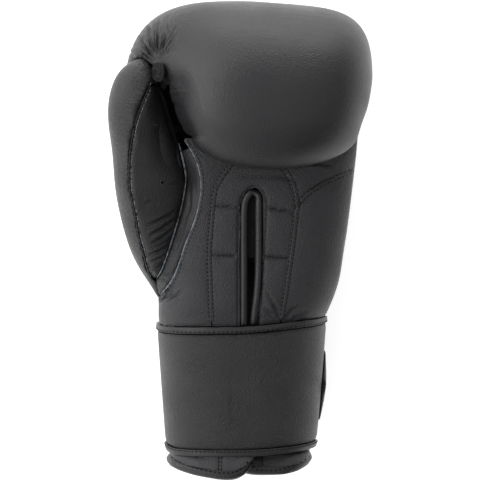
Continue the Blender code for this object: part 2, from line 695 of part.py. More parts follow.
def slit_cutter():
    """A prism that clears the slit and its binding from the palm leather."""
    outline = slit_path(SLIT_BINDING_WIDTH + GAP)
    outline[0] = (outline[0][0], outline[0][1] - PALM_PADDING)
    outline[-1] = (outline[-1][0], outline[-1][1] - PALM_PADDING)
    low, high = PALM_HEIGHT * 0.6, PALM_HEIGHT * 1.3
    count = len(outline)
    points = [(x, y, low) for x, y in outline] + [(x, y, high) for x, y in outline]
    faces = [tuple(range(count)), tuple(range(count, 2 * count))]
    for i in range(count):
        k = (i + 1) % count
        faces.append((i, k, count + k, count + i))
    return solid("slit_cutter", points, faces, leather())


def slit_binding():
    """The rolled leather edge of the slit."""
    outer, inner = [], []
    for k, share in enumerate(SLIT_BINDING_ROUND):
        lift = share * SLIT_BINDING_DEPTH
        path = slit_path(SLIT_BINDING_WIDTH * k / (len(SLIT_BINDING_ROUND) - 1))
        outer.append([(x, y, palm_height(x, y) + lift) for x, y in path])
        inner.append([(x, y, palm_height(x, y) + lift - SLIT_BINDING_DEPTH) for x, y in path])
    made = sheet("slit_binding", outer, inner, leather())
    cut(made, strap_cutter(PANEL_TRIM))
    return made


def slit_elastic():
    """The elastic that bridges the slit under its binding."""
    outer, inner = [], []
    drop = SLIT_BINDING_DEPTH * (1 - SLIT_BINDING_ROUND[0]) + GAP
    low, high = ELASTIC_ENDS
    side = ELASTIC_SIDE * SLIT_BINDING_WIDTH
    for i in range(3):
        x = lerp(SLIT.at("left", low) * HALF_HAND - side,
                 SLIT.at("right", low) * HALF_HAND + side, i / 2)
        outer.append([])
        inner.append([])
        for j in range(5):
            y = y_of_hand(lerp(low, high, j / 4))
            z = palm_height(x, y) - drop
            outer[-1].append((x, y, z))
            inner[-1].append((x, y, z - ELASTIC_THICKNESS))
    return sheet("slit_elastic", outer, inner, elastic())


# The thumb

THUMB_ENDS = (0.130, 1.338)
THUMB_HOLLOW_ENDS = (0.250, 1.265)
THUMB_STATIONS = (0.130, 0.190, 0.250, 0.320, 0.400, 0.490, 0.590, 0.690, 0.790, 0.890, 0.980,
                  1.060, 1.130, 1.190, 1.235, 1.265, 1.300, 1.323, 1.338)
THUMB_SIDES = 18
THUMB_MOUTH_ENDS = (-0.020, 0.890)
THUMB_MOUTH_FAR = 0.2         # share of HALF_HAND
CUTTER_TOP = 1.6 * PALM_HEIGHT
INNER_DROP = 0.06             # inner leather's lower edge under the thumb's middle line
INNER_TURN, INNER_SPREAD = 0.05, 0.30
# Air holes of the thumb's inner leather: across as a share of HALF_HAND, and along the hand
AIR_HOLES = ((-0.801, 1.003), (-0.742, 0.709))
AIR_HOLE_SIDES = 8


def thumb_body(name, shrink, shift_x, shift_z, ends):
    """A closed thumb shape, shrunk and shifted for its hollow."""
    low, high = ends
    stations = [a for a in THUMB_STATIONS if low <= a <= high]
    points, faces = [], []
    for along in stations:
        x_mid, z_mid, half_x, half_z = thumb_section(along, shrink, shift_x, shift_z)
        for k in range(THUMB_SIDES):
            turn = 2 * math.pi * k / THUMB_SIDES
            x = x_mid + half_x * math.cos(turn)
            sink = inner_dent(x, along) if math.sin(turn) > 0 else 0.0
            points.append((x, y_of_hand(along), z_mid + half_z * math.sin(turn) - sink))
    for i in range(len(stations) - 1):
        for k in range(THUMB_SIDES):
            m = (k + 1) % THUMB_SIDES
            faces.append((i * THUMB_SIDES + k, i * THUMB_SIDES + m,
                          (i + 1) * THUMB_SIDES + m, (i + 1) * THUMB_SIDES + k))
    last = (len(stations) - 1) * THUMB_SIDES
    faces.append(tuple(range(THUMB_SIDES)))
    faces.append(tuple(range(last, last + THUMB_SIDES)))
    return solid(name, points, faces, leather())


def thumb_cutter():
    return thumb_body("thumb_cutter", -GAP, 0.0, 0.0, THUMB_ENDS)


def thumb_hollow():
    spread = (THUMB_PAD_WALL - THUMB_INNER_WALL) / 2
    shrink = (THUMB_PAD_WALL + THUMB_INNER_WALL) / 2
    return thumb_body("thumb_hollow", shrink, spread, spread, THUMB_HOLLOW_ENDS)


def inner_region(grow, low_lift):
    """The space over the thumb's inner leather: right of the thumb seam, above its middle."""
    seam, web, floor = [], [], []
    steps = 18
    for i in range(steps + 1):
        along = lerp(THUMB_SEAM.key[0], THUMB_SEAM.key[-1], i / steps)
        seam.append((THUMB_SEAM.at("across", along) * HALF_HAND - grow, y_of_hand(along)))
        edge = WEB_OUTER_EDGE.at("across", min(along, WEB_OUTER_EDGE.key[-1]))
        beyond = smooth_step((along - WEB_OUTER_EDGE.key[-1]) / INNER_TURN)
        side = edge + beyond * INNER_SPREAD
        web.append((side * HALF_HAND + grow - GAP / 2, y_of_hand(along)))
        floor.append((THUMB.at("height", along) - INNER_DROP) * THUMB_HEIGHT + low_lift)
    end = grow / 2
    seam[0] = (seam[0][0] - GAP, seam[0][1] - end)
    web[0] = (web[0][0] + GAP, web[0][1] - end)
    seam[-1] = (seam[-1][0], seam[-1][1] + end)
    web[-1] = (web[-1][0], web[-1][1] + end)
    outer = [[(x, y, CUTTER_TOP) for x, y in line] for line in (seam, web)]
    inner = [[(x, y, z) for (x, y), z in zip(line, floor)] for line in (seam, web)]
    return sheet("inner_region", outer, inner, leather())


def thumb_mouth():
    """The space where the thumb's compartment opens into the hand's."""
    low, high = THUMB_MOUTH_ENDS
    steps = 6
    outer, inner = [], []
    for i in range(steps + 1):
        along = lerp(low, high, i / steps)
        near = THUMB.at("middle", along) * HALF_HAND + THUMB_PAD_WALL / 4
        far = THUMB_MOUTH_FAR * HALF_HAND
        y = y_of_hand(along)
        outer.append([(near, y, CUTTER_TOP), (far, y, CUTTER_TOP)])
        inner.append([(near, y, 0.0), (far, y, 0.0)])
    return sheet("thumb_mouth", outer, inner, leather())


def thumb_pad():
    made = thumb_body("thumb_pad", 0.0, 0.0, 0.0, THUMB_ENDS)
    cut(made, thumb_hollow())
    cut(made, inner_region(GAP / 2, 0.0))
    cut(made, thumb_mouth())
    cut(made, web_cutter())
    return made


def thumb_inner():
    made = thumb_body("thumb_inner", 0.0, 0.0, 0.0, THUMB_ENDS)
    cut(made, thumb_hollow())
    keep(made, inner_region(-GAP / 2, GAP))
    for across, along in AIR_HOLES:
        cut(made, air_hole(across * HALF_HAND, y_of_hand(along)))
    made.data.materials.clear()
    made.data.materials.append(inner_leather())
    return made


def air_hole(x, y):
    """A drill through the thumb's upper face."""
    z = thumb_height(x, y)
    low, high = z - 3 * THUMB_INNER_WALL, z + 3 * THUMB_INNER_WALL
    turns = [2 * math.pi * k / AIR_HOLE_SIDES for k in range(AIR_HOLE_SIDES)]
    ring = [(x + AIR_HOLE_RADIUS * math.cos(t), y + AIR_HOLE_RADIUS * math.sin(t)) for t in turns]
    points = [(*p, high) for p in ring] + [(*p, low) for p in ring]
    faces = [tuple(range(AIR_HOLE_SIDES)), tuple(range(AIR_HOLE_SIDES, 2 * AIR_HOLE_SIDES))]
    for k in range(AIR_HOLE_SIDES):
        m = (k + 1) % AIR_HOLE_SIDES
        faces.append((k, m, AIR_HOLE_SIDES + m, AIR_HOLE_SIDES + k))
    return solid("air_hole", points, faces, inner_leather())


WEB_STEPS = 14
WEB_ACROSS = 3
WEB_INSET = 0.03


def web_body(name, grow, rise, drop):
    """A slab along the web, grown in plan, from a rise over its face to a drop under it."""
    outer, inner = [], []
    for i in range(WEB_ACROSS + 1):
        u = lerp(WEB_INSET, 1 - WEB_INSET, i / WEB_ACROSS)
        outer.append([])
        inner.append([])
        for j in range(WEB_STEPS + 1):
            v = j / WEB_STEPS
            a = lerp(WEB_OUTER_EDGE.key[0], WEB_OUTER_EDGE.key[-1], v)
            b = lerp(WEB_PALM_EDGE.key[0], WEB_PALM_EDGE.key[-2], v)
            ax, ay = WEB_OUTER_EDGE.at("across", a) * HALF_HAND + GAP / 2, y_of_hand(a)
            bx, by = WEB_PALM_EDGE.at("across", b) * HALF_HAND - GAP / 2, y_of_hand(b)
            bulge = WEB_BULGE * math.sin(math.pi * u)
            z = lerp(thumb_height(ax, ay), palm_height(bx, by), u) + bulge
            x = lerp(ax - grow, bx + grow, u)
            y = lerp(ay, by, u) - (grow if j == 0 else 0.0)
            outer[-1].append((x, y, z + rise))
            inner[-1].append((x, y, z - drop))
    return sheet(name, outer, inner, inner_leather())


def web_cutter():
    return web_body("web_cutter", GAP, THUMB_DEPTH, PALM_WALL + 2 * GAP)


def thumb_web():
    """The strip between the thumb's inner leather and the palm."""
    return web_body("thumb_web", 0.0, 0.0, PALM_WALL)


# The wrist: cuff, strap and their bindings

def wrist_point(along, turn, depth):
    """A point round the wrist at a depth below the strap's outer face."""
    turn = math.radians(turn)
    left = WRIST.at("left", along) * HALF_WRIST
    right = WRIST.at("right", along) * HALF_WRIST
    middle, half = (left + right) / 2, (right - left) / 2 - depth
    centre = WRIST_MIDDLE * WRIST_DEPTH
    edge = WRIST.at("top" if math.sin(turn) > 0 else "back", along) * WRIST_DEPTH
    height = abs(edge - centre) - depth
    c, s = abs(math.cos(turn)), abs(math.sin(turn))
    reach = (c**WRIST_SQUARE + s**WRIST_SQUARE) ** (-1 / WRIST_SQUARE)
    return (
        middle + half * reach * math.cos(turn),
        y_of_wrist(along),
        max(centre + height * reach * math.sin(turn), 0.0),
    )


def band(name, start, end, low, high, outside, inside, steps, rows):
    """A wall round the wrist between two edges, given as shares along the cuff."""
    outer, inner = [], []
    for i in range(steps + 1):
        turn = lerp(start, end, i / steps)
        outer.append([])
        inner.append([])
        for v in rows:
            along = lerp(low(turn), high(turn), v)
            outer[-1].append(wrist_point(along, turn, outside(turn, v)))
            inner[-1].append(wrist_point(along, turn, inside(turn, v)))
    return sheet(name, outer, inner, leather())


def even_rows(count):
    return [j / count for j in range(count + 1)]


def strap_top(turn):
    return 1.0 - STRAP_TOP.at("drop", turn) * FLAP_DROP / CUFF_LENGTH


def strap_foot(turn):
    return STRAP_FOOT_ALONG - STRAP_FOOT.at("drop", turn) * FLAP_DROP / CUFF_LENGTH


def cuff_mouth(turn):
    return (1.0 - CUFF_MOUTH.at("drop", turn)) * FLAP_DROP / CUFF_LENGTH


BINDING_SHARE = STRAP_BINDING_WIDTH / CUFF_LENGTH
GAP_SHARE = GAP / CUFF_LENGTH
STRAP_SWELL = STRAP_BINDING_WALL - STRAP_WALL
WRIST_STEPS = 38


def wrist_strap():
    return band("wrist_strap", STRAP_START, STRAP_END,
                lambda t: strap_foot(t) + BINDING_SHARE + GAP_SHARE / 2,
                lambda t: strap_top(t) - BINDING_SHARE - GAP_SHARE / 2,
                lambda t, v: STRAP_SWELL, lambda t, v: STRAP_SWELL + STRAP_WALL, WRIST_STEPS,
                even_rows(3))


PANEL_TRIM = 3 * STRAP_WALL + PALM_WALL      # deep enough to end the palm leather at the strap
CUTTER_RISE = 0.02


def strap_cutter(depth):
    """A ring that clears the strap's room down to a depth, up to its upper edge."""
    points, faces = [], []
    for i in range(WRIST_STEPS):
        turn = lerp(STRAP_START, STRAP_START + 360, i / WRIST_STEPS)
        for along in (STRAP_FOOT_ALONG, strap_top(turn) + GAP_SHARE):
            points.append(wrist_point(along, turn, -CUTTER_RISE))
            points.append(wrist_point(along, turn, depth))
        corners = [4 * i, 4 * i + 1, 4 * i + 3, 4 * i + 2]
        beyond = [4 * ((i + 1) % WRIST_STEPS) + k for k in (0, 1, 3, 2)]
        for k in range(4):
            m = (k + 1) % 4
            faces.append((corners[k], corners[m], beyond[m], beyond[k]))
    return solid("strap_cutter", points, faces, leather())


def strap_binding(name, low, high):
    def outside(turn, v):
        return STRAP_SWELL * (1 - math.sin(math.pi * (0.15 + 0.7 * v)))

    return band(name, STRAP_START, STRAP_END, low, high, outside,
                lambda t, v: STRAP_BINDING_WALL, WRIST_STEPS, even_rows(2))


def strap_binding_top():
    return strap_binding("strap_binding_top",
                         lambda t: strap_top(t) - BINDING_SHARE + GAP_SHARE / 2, strap_top)


def strap_binding_bottom():
    return strap_binding("strap_binding_bottom", strap_foot,
                         lambda t: strap_foot(t) + BINDING_SHARE - GAP_SHARE / 2)


def closure_tab():
    """The rounded end of the strap, which closes over its start."""

    def reach(turn):
        t = (turn - TAB_START) / (TAB_END - TAB_START)
        return TAB_HALF * math.sqrt(max(1 - max(0.0, (t - 0.45) / 0.56) ** 2.4, 0.01))

    return band("closure_tab", TAB_START, TAB_END,
                lambda t: TAB_MIDDLE - reach(t), lambda t: TAB_MIDDLE + reach(t),
                lambda t, v: STRAP_SWELL - GAP - TAB_WALL * lerp(TAB_EDGE, 1, math.sin(math.pi * v)),
                lambda t, v: STRAP_SWELL - GAP,
                9, even_rows(6))


def cuff_depth(turn):
    """Depth of the cuff's outer face, which steps in where the right flap goes under."""
    tuck = smooth_step((turn - FLAP_TUCK_START) / (FLAP_TUCK_END - FLAP_TUCK_START))
    return tuck * (CUFF_WALL + CUFF_BINDING_SWELL + 3 * GAP)


CUFF_STEP_SPAN, CUFF_STEP_END = 0.045, 0.022


def cuff_room(along, turn):
    """Room that the strap needs over the cuff, which the cuff's flared mouth doesn't give."""
    most = STRAP_BINDING_WALL + CUFF_BINDING_SWELL + GAP
    end = strap_foot((turn - STRAP_FOOT.key[0]) % 360 + STRAP_FOOT.key[0]) - CUFF_STEP_END
    return most * smooth_step((along - end + CUFF_STEP_SPAN) / CUFF_STEP_SPAN)


CUFF_TOP = 0.942              # cuff's upper end under the strap, as a share of CUFF_LENGTH
CUFF_ROWS = (0.00, 0.045, 0.095, 0.40, 0.70, 1.00)


def cuff_edge(turn):
    return cuff_mouth(turn) + CUFF_BINDING_WIDTH / CUFF_LENGTH


def cuff():
    def depth(turn, v):
        low, high = cuff_edge(turn) + GAP_SHARE / 2, CUFF_TOP
        return cuff_depth(turn) + cuff_room(lerp(low, high, v), turn)

    return band("cuff", CUFF_START, CUFF_END, lambda t: cuff_edge(t) + GAP_SHARE / 2,
                lambda t: CUFF_TOP, depth, lambda t, v: depth(t, v) + CUFF_WALL, WRIST_STEPS,
                CUFF_ROWS)


def cuff_binding():
    def depth(turn, v):
        return cuff_depth(turn) + cuff_room(lerp(cuff_mouth(turn), cuff_edge(turn), v), turn)

    def swell(v):
        return CUFF_BINDING_SWELL * (math.sin(math.pi * (0.1 + 0.8 * v)) - (1 - v) ** 3)

    return band("cuff_binding", CUFF_START, CUFF_END, cuff_mouth,
                lambda t: cuff_edge(t) - GAP_SHARE / 2,
                lambda t, v: depth(t, v) - swell(v),
                lambda t, v: depth(t, v) + CUFF_WALL, WRIST_STEPS, even_rows(3))


LOCK_SQUARE = 2.8
LOCK_X, LOCK_Y = -0.645, 0.415      # shares of HALF_FIST and FIST_REACH
LOCK_LIFT = -0.02                   # share of ROLL_THICKNESS above the roof
LOCK_SLOPE = 0.85
LOCK_RINGS = ((-1.00, 0.62), (-0.72, 0.95), (0.00, 1.05), (0.72, 0.95), (1.00, 0.62))
LOCK_SIDES = 12


def thumb_lock():
    """The stitched tab between the thumb's tip and the fist's shoulder."""
    x = LOCK_X * HALF_FIST
    y = AXIS_Y + LOCK_Y * FIST_REACH
    z = ROOF_HEIGHT + LOCK_LIFT * ROLL_THICKNESS
    points, faces = [], []
    for height, size in LOCK_RINGS:
        for k in range(LOCK_SIDES):
            turn = 2 * math.pi * k / LOCK_SIDES
            c, s = abs(math.cos(turn)), abs(math.sin(turn))
            reach = size * (c**LOCK_SQUARE + s**LOCK_SQUARE) ** (-1 / LOCK_SQUARE)
            dx = reach * math.cos(turn) * LOCK_WIDTH / 2
            dy = reach * math.sin(turn) * LOCK_LENGTH / 2
            points.append((x + dx, y + dy, z + LOCK_SLOPE * dx + height * LOCK_THICKNESS / 2))
    for i in range(len(LOCK_RINGS) - 1):
        for k in range(LOCK_SIDES):
            m = (k + 1) % LOCK_SIDES
            low, high = i * LOCK_SIDES, (i + 1) * LOCK_SIDES
            faces.append((low + k, low + m, high + m, high + k))
    last = (len(LOCK_RINGS) - 1) * LOCK_SIDES
    faces.append(tuple(range(LOCK_SIDES)))
    faces.append(tuple(range(last, last + LOCK_SIDES)))
    made = solid("thumb_lock", points, faces, leather())
    cut(made, shell_body("shell_cutter", GAP))
    cut(made, thumb_cutter())
    return made


def build():
    for thing in list(bpy.data.objects):
        bpy.data.objects.remove(thing)
    padded_shell()
    palm_thumb_side()
    palm_centre()
    palm_heel()
    palm_finger_side()
    slit_binding()
    slit_elastic()
    thumb_pad()
    thumb_inner()
    thumb_web()
    thumb_lock()
    cuff()
    cuff_binding()
    wrist_strap()
    strap_binding_top()
    strap_binding_bottom()
    closure_tab()


build()
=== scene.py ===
"""Finishes the kickboxing glove: leather, folds, seams, threads and a plain studio."""

import math

import bmesh
import bpy
import numpy as np
from mathutils import Matrix, Vector
from mathutils.bvhtree import BVHTree
from mathutils.kdtree import KDTree


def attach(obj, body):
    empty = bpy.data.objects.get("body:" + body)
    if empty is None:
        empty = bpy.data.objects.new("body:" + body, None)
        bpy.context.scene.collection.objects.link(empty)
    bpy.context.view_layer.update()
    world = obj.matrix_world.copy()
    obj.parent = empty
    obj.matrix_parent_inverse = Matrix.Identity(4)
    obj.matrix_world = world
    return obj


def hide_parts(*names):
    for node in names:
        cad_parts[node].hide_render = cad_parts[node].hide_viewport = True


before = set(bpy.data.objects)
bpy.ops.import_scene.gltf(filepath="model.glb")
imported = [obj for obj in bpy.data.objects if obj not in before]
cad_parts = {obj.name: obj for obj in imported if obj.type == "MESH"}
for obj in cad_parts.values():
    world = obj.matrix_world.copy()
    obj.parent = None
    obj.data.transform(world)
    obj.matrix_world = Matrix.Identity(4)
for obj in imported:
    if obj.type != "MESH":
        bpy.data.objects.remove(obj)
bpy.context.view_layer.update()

bl_info = {
    "name": "Kickboxing glove finish",
    "version": (1, 0, 0),
    "blender": (4, 5, 0),
    "location": "View3D > Sidebar > Glove",
    "description": "Dresses the glove's solids in leather, folds, seams and threads",
    "category": "Object",
}

BODY = "root"
MM = 0.001
PLAN_SCALE = 0.63 * MM                # floor of the plan covered by one step of the seam tables
PLAN_CENTRE = (239.0, 239.75)
MERGE_DISTANCE = 0.01 * MM
SMOOTH_ANGLE = math.radians(48)
BORDER_ANGLE = math.radians(50)       # a piece's sharp borders turn more than this


# Sizes and colours that a user may change


class GloveSizes(bpy.types.PropertyGroup):
    fold_depth: bpy.props.FloatProperty(
        name="Fold depth", description="Depth of the shoulder's gathered folds",
        default=1.0 * MM, min=0.0, subtype="DISTANCE", unit="LENGTH")
    pucker_depth: bpy.props.FloatProperty(
        name="Pucker depth", description="Depth of the small puckers along the thumb's seam",
        default=0.32 * MM, min=0.0, subtype="DISTANCE", unit="LENGTH")
    crease_depth: bpy.props.FloatProperty(
        name="Crease depth", description="Depth of single creases in the thin leather",
        default=0.9 * MM, min=0.0, subtype="DISTANCE", unit="LENGTH")
    seam_roll: bpy.props.FloatProperty(
        name="Seam roll", description="How far the leather turns down into a seam",
        default=0.35 * MM, min=0.0, subtype="DISTANCE", unit="LENGTH")
    stitch_pitch: bpy.props.FloatProperty(
        name="Stitch pitch", description="Distance from one stitch to the next",
        default=2.5 * MM, min=0.5 * MM, subtype="DISTANCE", unit="LENGTH")
    thread_width: bpy.props.FloatProperty(
        name="Thread width", description="Width of the sewing thread",
        default=0.8 * MM, min=0.1 * MM, subtype="DISTANCE", unit="LENGTH")
    grain_size: bpy.props.FloatProperty(
        name="Grain size", description="Size of the leather's pebbles",
        default=0.9 * MM, min=0.2 * MM, subtype="DISTANCE", unit="LENGTH")


class GloveColours(bpy.types.PropertyGroup):
    leather: bpy.props.FloatVectorProperty(
        name="Leather", description="Colour of the thick outer leather",
        default=(0.0135, 0.0135, 0.0150), size=3, min=0.0, max=1.0, subtype="COLOR")
    # Thin leather is a little darker than the outer leather, in part as painted shade for the deep
    # shade on the thumb's inner panel
    thin_leather: bpy.props.FloatVectorProperty(
        name="Thin leather", description="Colour of the thumb's inner leather and the web",
        default=(0.0115, 0.0115, 0.0125), size=3, min=0.0, max=1.0, subtype="COLOR")
    thread: bpy.props.FloatVectorProperty(
        name="Thread", description="Colour of the sewing thread",
        default=(0.0022, 0.0022, 0.0025), size=3, min=0.0, max=1.0, subtype="COLOR")
    cut_edge: bpy.props.FloatVectorProperty(
        name="Cut edge", description="Colour of the leather's undyed cut edges",
        default=(0.20, 0.225, 0.25), size=3, min=0.0, max=1.0, subtype="COLOR")
    floor: bpy.props.FloatVectorProperty(
        name="Floor", description="Colour of the pale floor",
        default=(0.92, 0.92, 0.92), size=3, min=0.0, max=1.0, subtype="COLOR")


def sizes():
    return bpy.context.scene.glove_sizes


def colours():
    return bpy.context.scene.glove_colours


# Plan places of the seams and folds, in steps of PLAN_SCALE from the upper left


def on_plan(*places):
    """Plan points in metres, as an array of x and y."""
    steps = np.array(places, float)
    steps[:, 0] = (steps[:, 0] - PLAN_CENTRE[0]) * PLAN_SCALE
    steps[:, 1] = (PLAN_CENTRE[1] - steps[:, 1]) * PLAN_SCALE
    return steps


THUMB_SEAM = on_plan((153, 82), (145, 101), (137, 121), (131, 151), (130, 178), (131, 194),
                     (136, 213), (139, 235), (144, 252), (147, 268), (153, 279))
WEB_OUTER_EDGE = on_plan((179, 143), (181, 151), (185, 168), (186.5, 180), (184, 196), (181, 211),
                         (176, 228), (171, 244), (166, 259), (162, 270), (156, 279))
WEB_PALM_EDGE = on_plan((183, 138), (190, 148), (197, 161), (201, 176), (202, 189), (199, 207),
                        (195, 222), (191, 231), (185, 246), (181, 259), (176, 274), (169.5, 285),
                        (160, 295))
LEFT_SEAM = on_plan((234, 160), (225, 173), (216, 187), (213.5, 200), (212, 218), (210, 241),
                    (209.4, 260), (210.5, 290), (211.5, 322))
RIGHT_SEAM = on_plan((281, 165), (288, 175), (293, 184), (296.5, 198), (296, 212), (293, 240),
                     (289, 269), (284, 304), (281, 320))
BRANCH_SEAM = on_plan((299, 203), (305, 196), (315, 188.5), (328, 181.5), (342, 175.5), (355, 170))
TIE_POINT = on_plan((159, 68))[0]


def along_path(plan, path):
    """Distance of plan points to a path, the side that they are on, and how far along it."""
    best = np.full(len(plan), 1e9)
    side = np.zeros(len(plan))
    run = np.zeros(len(plan))
    start = 0.0
    for a, b in zip(path[:-1], path[1:]):
        step = b - a
        length = float(np.hypot(*step))
        rel = plan - a
        t = np.clip(rel @ step / length**2, 0, 1)
        off = rel - t[:, None] * step
        dist = np.hypot(off[:, 0], off[:, 1])
        near = dist < best
        best[near] = dist[near]
        side[near] = np.sign(step[0] * rel[:, 1] - step[1] * rel[:, 0])[near]
        run[near] = start + t[near] * length
        start += length
    return best, side, run


def path_length(path):
    return float(np.hypot(*np.diff(path[:, :2], axis=0).T).sum())


def facing_up(normals, start=-0.1, span=0.4):
    """From 0 to 1, how far the faces look up out of the palm."""
    return ease((normals[:, 2] - start) / span)


def lerp(a, b, t):
    return a + (b - a) * t


def ease(t):
    t = np.clip(t, 0, 1)
    return t * t * (3 - 2 * t)


def bell(distance, width):
    return np.exp(-(distance / width) ** 2)


def crease(plan, path, depth, width, taper=0.25):
    """Push of one crease with a soft ridge on both its sides, fading at its ends."""
    dist, side, run = along_path(plan, path)
    share = run / path_length(path)
    fade = ease(share / taper) * ease((1 - share) / taper)
    ridge = 0.45 * bell(dist - 1.9 * width, 1.1 * width)
    return depth * fade * (ridge - bell(dist, width))


def add_table(total, plan, table, scale):
    """The push with the creases of a table of paths, depths and widths in millimetres."""
    for path, depth, width in table:
        total = total + crease(plan, on_plan(*path), depth * scale, width * MM)
    return total


def groove(plan, path, depth, width):
    """Push of a groove that keeps its depth to both ends."""
    dist, side, run = along_path(plan, path)
    return -depth * bell(dist, width)


# Making and shaping pieces


def alone(piece):
    bpy.ops.object.select_all(action="DESELECT")
    piece.select_set(True)
    bpy.context.view_layer.objects.active = piece


def merged_copy(node, name):
    """A copy of a CAD node with its points merged, in faces of four corners where they fit."""
    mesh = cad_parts[node].data.copy()
    mesh.materials.clear()
    piece = bpy.data.objects.new(name, mesh)
    bpy.context.scene.collection.objects.link(piece)
    alone(piece)
    if mesh.has_custom_normals:
        bpy.ops.mesh.customdata_custom_splitnormals_clear()
    bpy.ops.object.mode_set(mode="EDIT")
    bpy.ops.mesh.select_all(action="SELECT")
    bpy.ops.mesh.remove_doubles(threshold=MERGE_DISTANCE)
    bpy.ops.mesh.tris_convert_to_quads(face_threshold=math.radians(40),
                                       shape_threshold=math.radians(60))
    bpy.ops.object.mode_set(mode="OBJECT")
    return piece


def new_piece(name, points, faces):
    mesh = bpy.data.meshes.new(name)
    mesh.from_pydata([tuple(p) for p in points], [], faces)
    piece = bpy.data.objects.new(name, mesh)
    bpy.context.scene.collection.objects.link(piece)
    return piece


def apply_all(piece):
    alone(piece)
    for step in list(piece.modifiers):
        bpy.ops.object.modifier_apply(modifier=step.name)


def crease_sharp_edges(piece, angle, share=1.0):
    """Keeps the edges that turn more than an angle when the piece is subdivided."""
    shape = bmesh.new()
    shape.from_mesh(piece.data)
    layers = shape.edges.layers.float
    layer = layers.get("crease_edge") or layers.new("crease_edge")
    for edge in shape.edges:
        if len(edge.link_faces) == 2 and edge.calc_face_angle() > angle:
            edge[layer] = share
    shape.to_mesh(piece.data)
    shape.free()


def subdivide(piece, levels):
    step = piece.modifiers.new("Smooth leather", "SUBSURF")
    step.levels = levels
    step.render_levels = levels
    apply_all(piece)


def dressed(node, name, levels=3, angle=50, share=1.0):
    """A merged copy of a CAD node, subdivided with its sharp edges kept."""
    piece = merged_copy(node, name)
    crease_sharp_edges(piece, math.radians(angle), share)
    subdivide(piece, levels)
    return piece


def remesh(piece, cell, rounds):
    """Even cells all over the piece, then a few rounds of smoothing."""
    step = piece.modifiers.new("Even cells", "REMESH")
    step.mode = "VOXEL"
    step.voxel_size = cell
    step.use_smooth_shade = True
    step = piece.modifiers.new("Soften", "SMOOTH")
    step.factor = 0.5
    step.iterations = rounds
    apply_all(piece)


def refine(piece, centre, radius):
    """Finer cells around a place."""
    shape = bmesh.new()
    shape.from_mesh(piece.data)
    near = [e for e in shape.edges if all((v.co - centre).length < radius for v in e.verts)]
    bmesh.ops.subdivide_edges(shape, edges=near, cuts=1, use_grid_fill=True)
    shape.to_mesh(piece.data)
    shape.free()
    step = piece.modifiers.new("Soften", "SMOOTH")
    step.factor = 0.5
    step.iterations = 2
    apply_all(piece)


def points_of(piece):
    count = len(piece.data.vertices)
    places = np.zeros(count * 3)
    normals = np.zeros(count * 3)
    piece.data.vertices.foreach_get("co", places)
    piece.data.vertices.foreach_get("normal", normals)
    return places.reshape(-1, 3), normals.reshape(-1, 3)


def set_points(piece, places):
    piece.data.vertices.foreach_set("co", places.ravel())
    piece.data.update()


def push(piece, shape):
    """Moves each point along its normal by what the shape function gives."""
    places, normals = points_of(piece)
    set_points(piece, places + normals * shape(places, normals)[:, None])


def roll_edges(piece, depth, reach):
    """Turns the leather down towards the piece's sharp borders."""
    shape = bmesh.new()
    shape.from_mesh(piece.data)
    border = sorted({v.index for e in shape.edges
                     if len(e.link_faces) == 2 and e.calc_face_angle() > BORDER_ANGLE
                     for v in e.verts})
    tree = KDTree(len(border))
    shape.verts.ensure_lookup_table()
    for k in border:
        tree.insert(shape.verts[k].co, k)
    tree.balance()
    near = np.array([tree.find(v.co)[2] for v in shape.verts])
    shape.free()
    push(piece, lambda p, n: -depth * bell(near, reach))


def finish_piece(piece, material, node=None):
    """Gives a piece its material and its body, and hides the node it stands for."""
    piece.data.materials.clear()
    piece.data.materials.append(material)
    alone(piece)
    bpy.ops.object.shade_smooth_by_angle(angle=SMOOTH_ANGLE)
    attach(piece, BODY)
    if node is not None:
        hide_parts(node)


# Materials


def add_node(nodes, kind, inputs=(), **settings):
    """A shader node with some of its settings and the values of some inputs."""
    node = nodes.new("ShaderNode" + kind)
    for label, value in settings.items():
        setattr(node, label, value)
    for label, value in dict(inputs).items():
        node.inputs[label].default_value = value
    return node


def number_step(nodes, operation, constant=None):
    return add_node(nodes, "Math", () if constant is None else {1: constant}, operation=operation)


def vector_step(nodes, operation, constant=None):
    return add_node(nodes, "VectorMath", () if constant is None else {1: constant},
                    operation=operation)


def range_step(nodes, low, high, start=0.0, end=1.0, kind="SMOOTHSTEP"):
    """Maps the range from low to high on the range from start to end."""
    return add_node(nodes, "MapRange", {"From Min": low, "From Max": high, "To Min": start,
                                        "To Max": end}, interpolation_type=kind)


def tone_step(nodes, dark, light):
    """Mixes two colours."""
    return add_node(nodes, "Mix", {"A": (*dark, 1.0), "B": (*light, 1.0)}, data_type="RGBA")


def shades(colour, *shares):
    return [[share * c for c in colour] for share in shares]


def join(links, *pairs):
    for start, end in pairs:
        links.new(start, end)


def chain(links, start, *steps):
    """Leads a socket through nodes by their first input and output in use, and gives the end."""
    for step in steps:
        links.new(start, next(socket for socket in step.inputs if socket.enabled))
        start = next(socket for socket in step.outputs if socket.enabled)
    return start


def new_group(name, inputs, outputs=("Height",)):
    """A node group with sockets made from tables, and the sockets that it gives and wants."""
    group = bpy.data.node_groups.new(name, "ShaderNodeTree")
    for label, kind, default in inputs:
        made = group.interface.new_socket(name=label, in_out="INPUT",
                                          socket_type="NodeSocket" + kind)
        if default is not None:
            made.default_value = default
    for label in outputs:
        group.interface.new_socket(name=label, in_out="OUTPUT", socket_type="NodeSocketFloat")
    nodes = group.nodes
    return (group, nodes, group.links, nodes.new("NodeGroupInput").outputs,
            nodes.new("NodeGroupOutput").inputs)


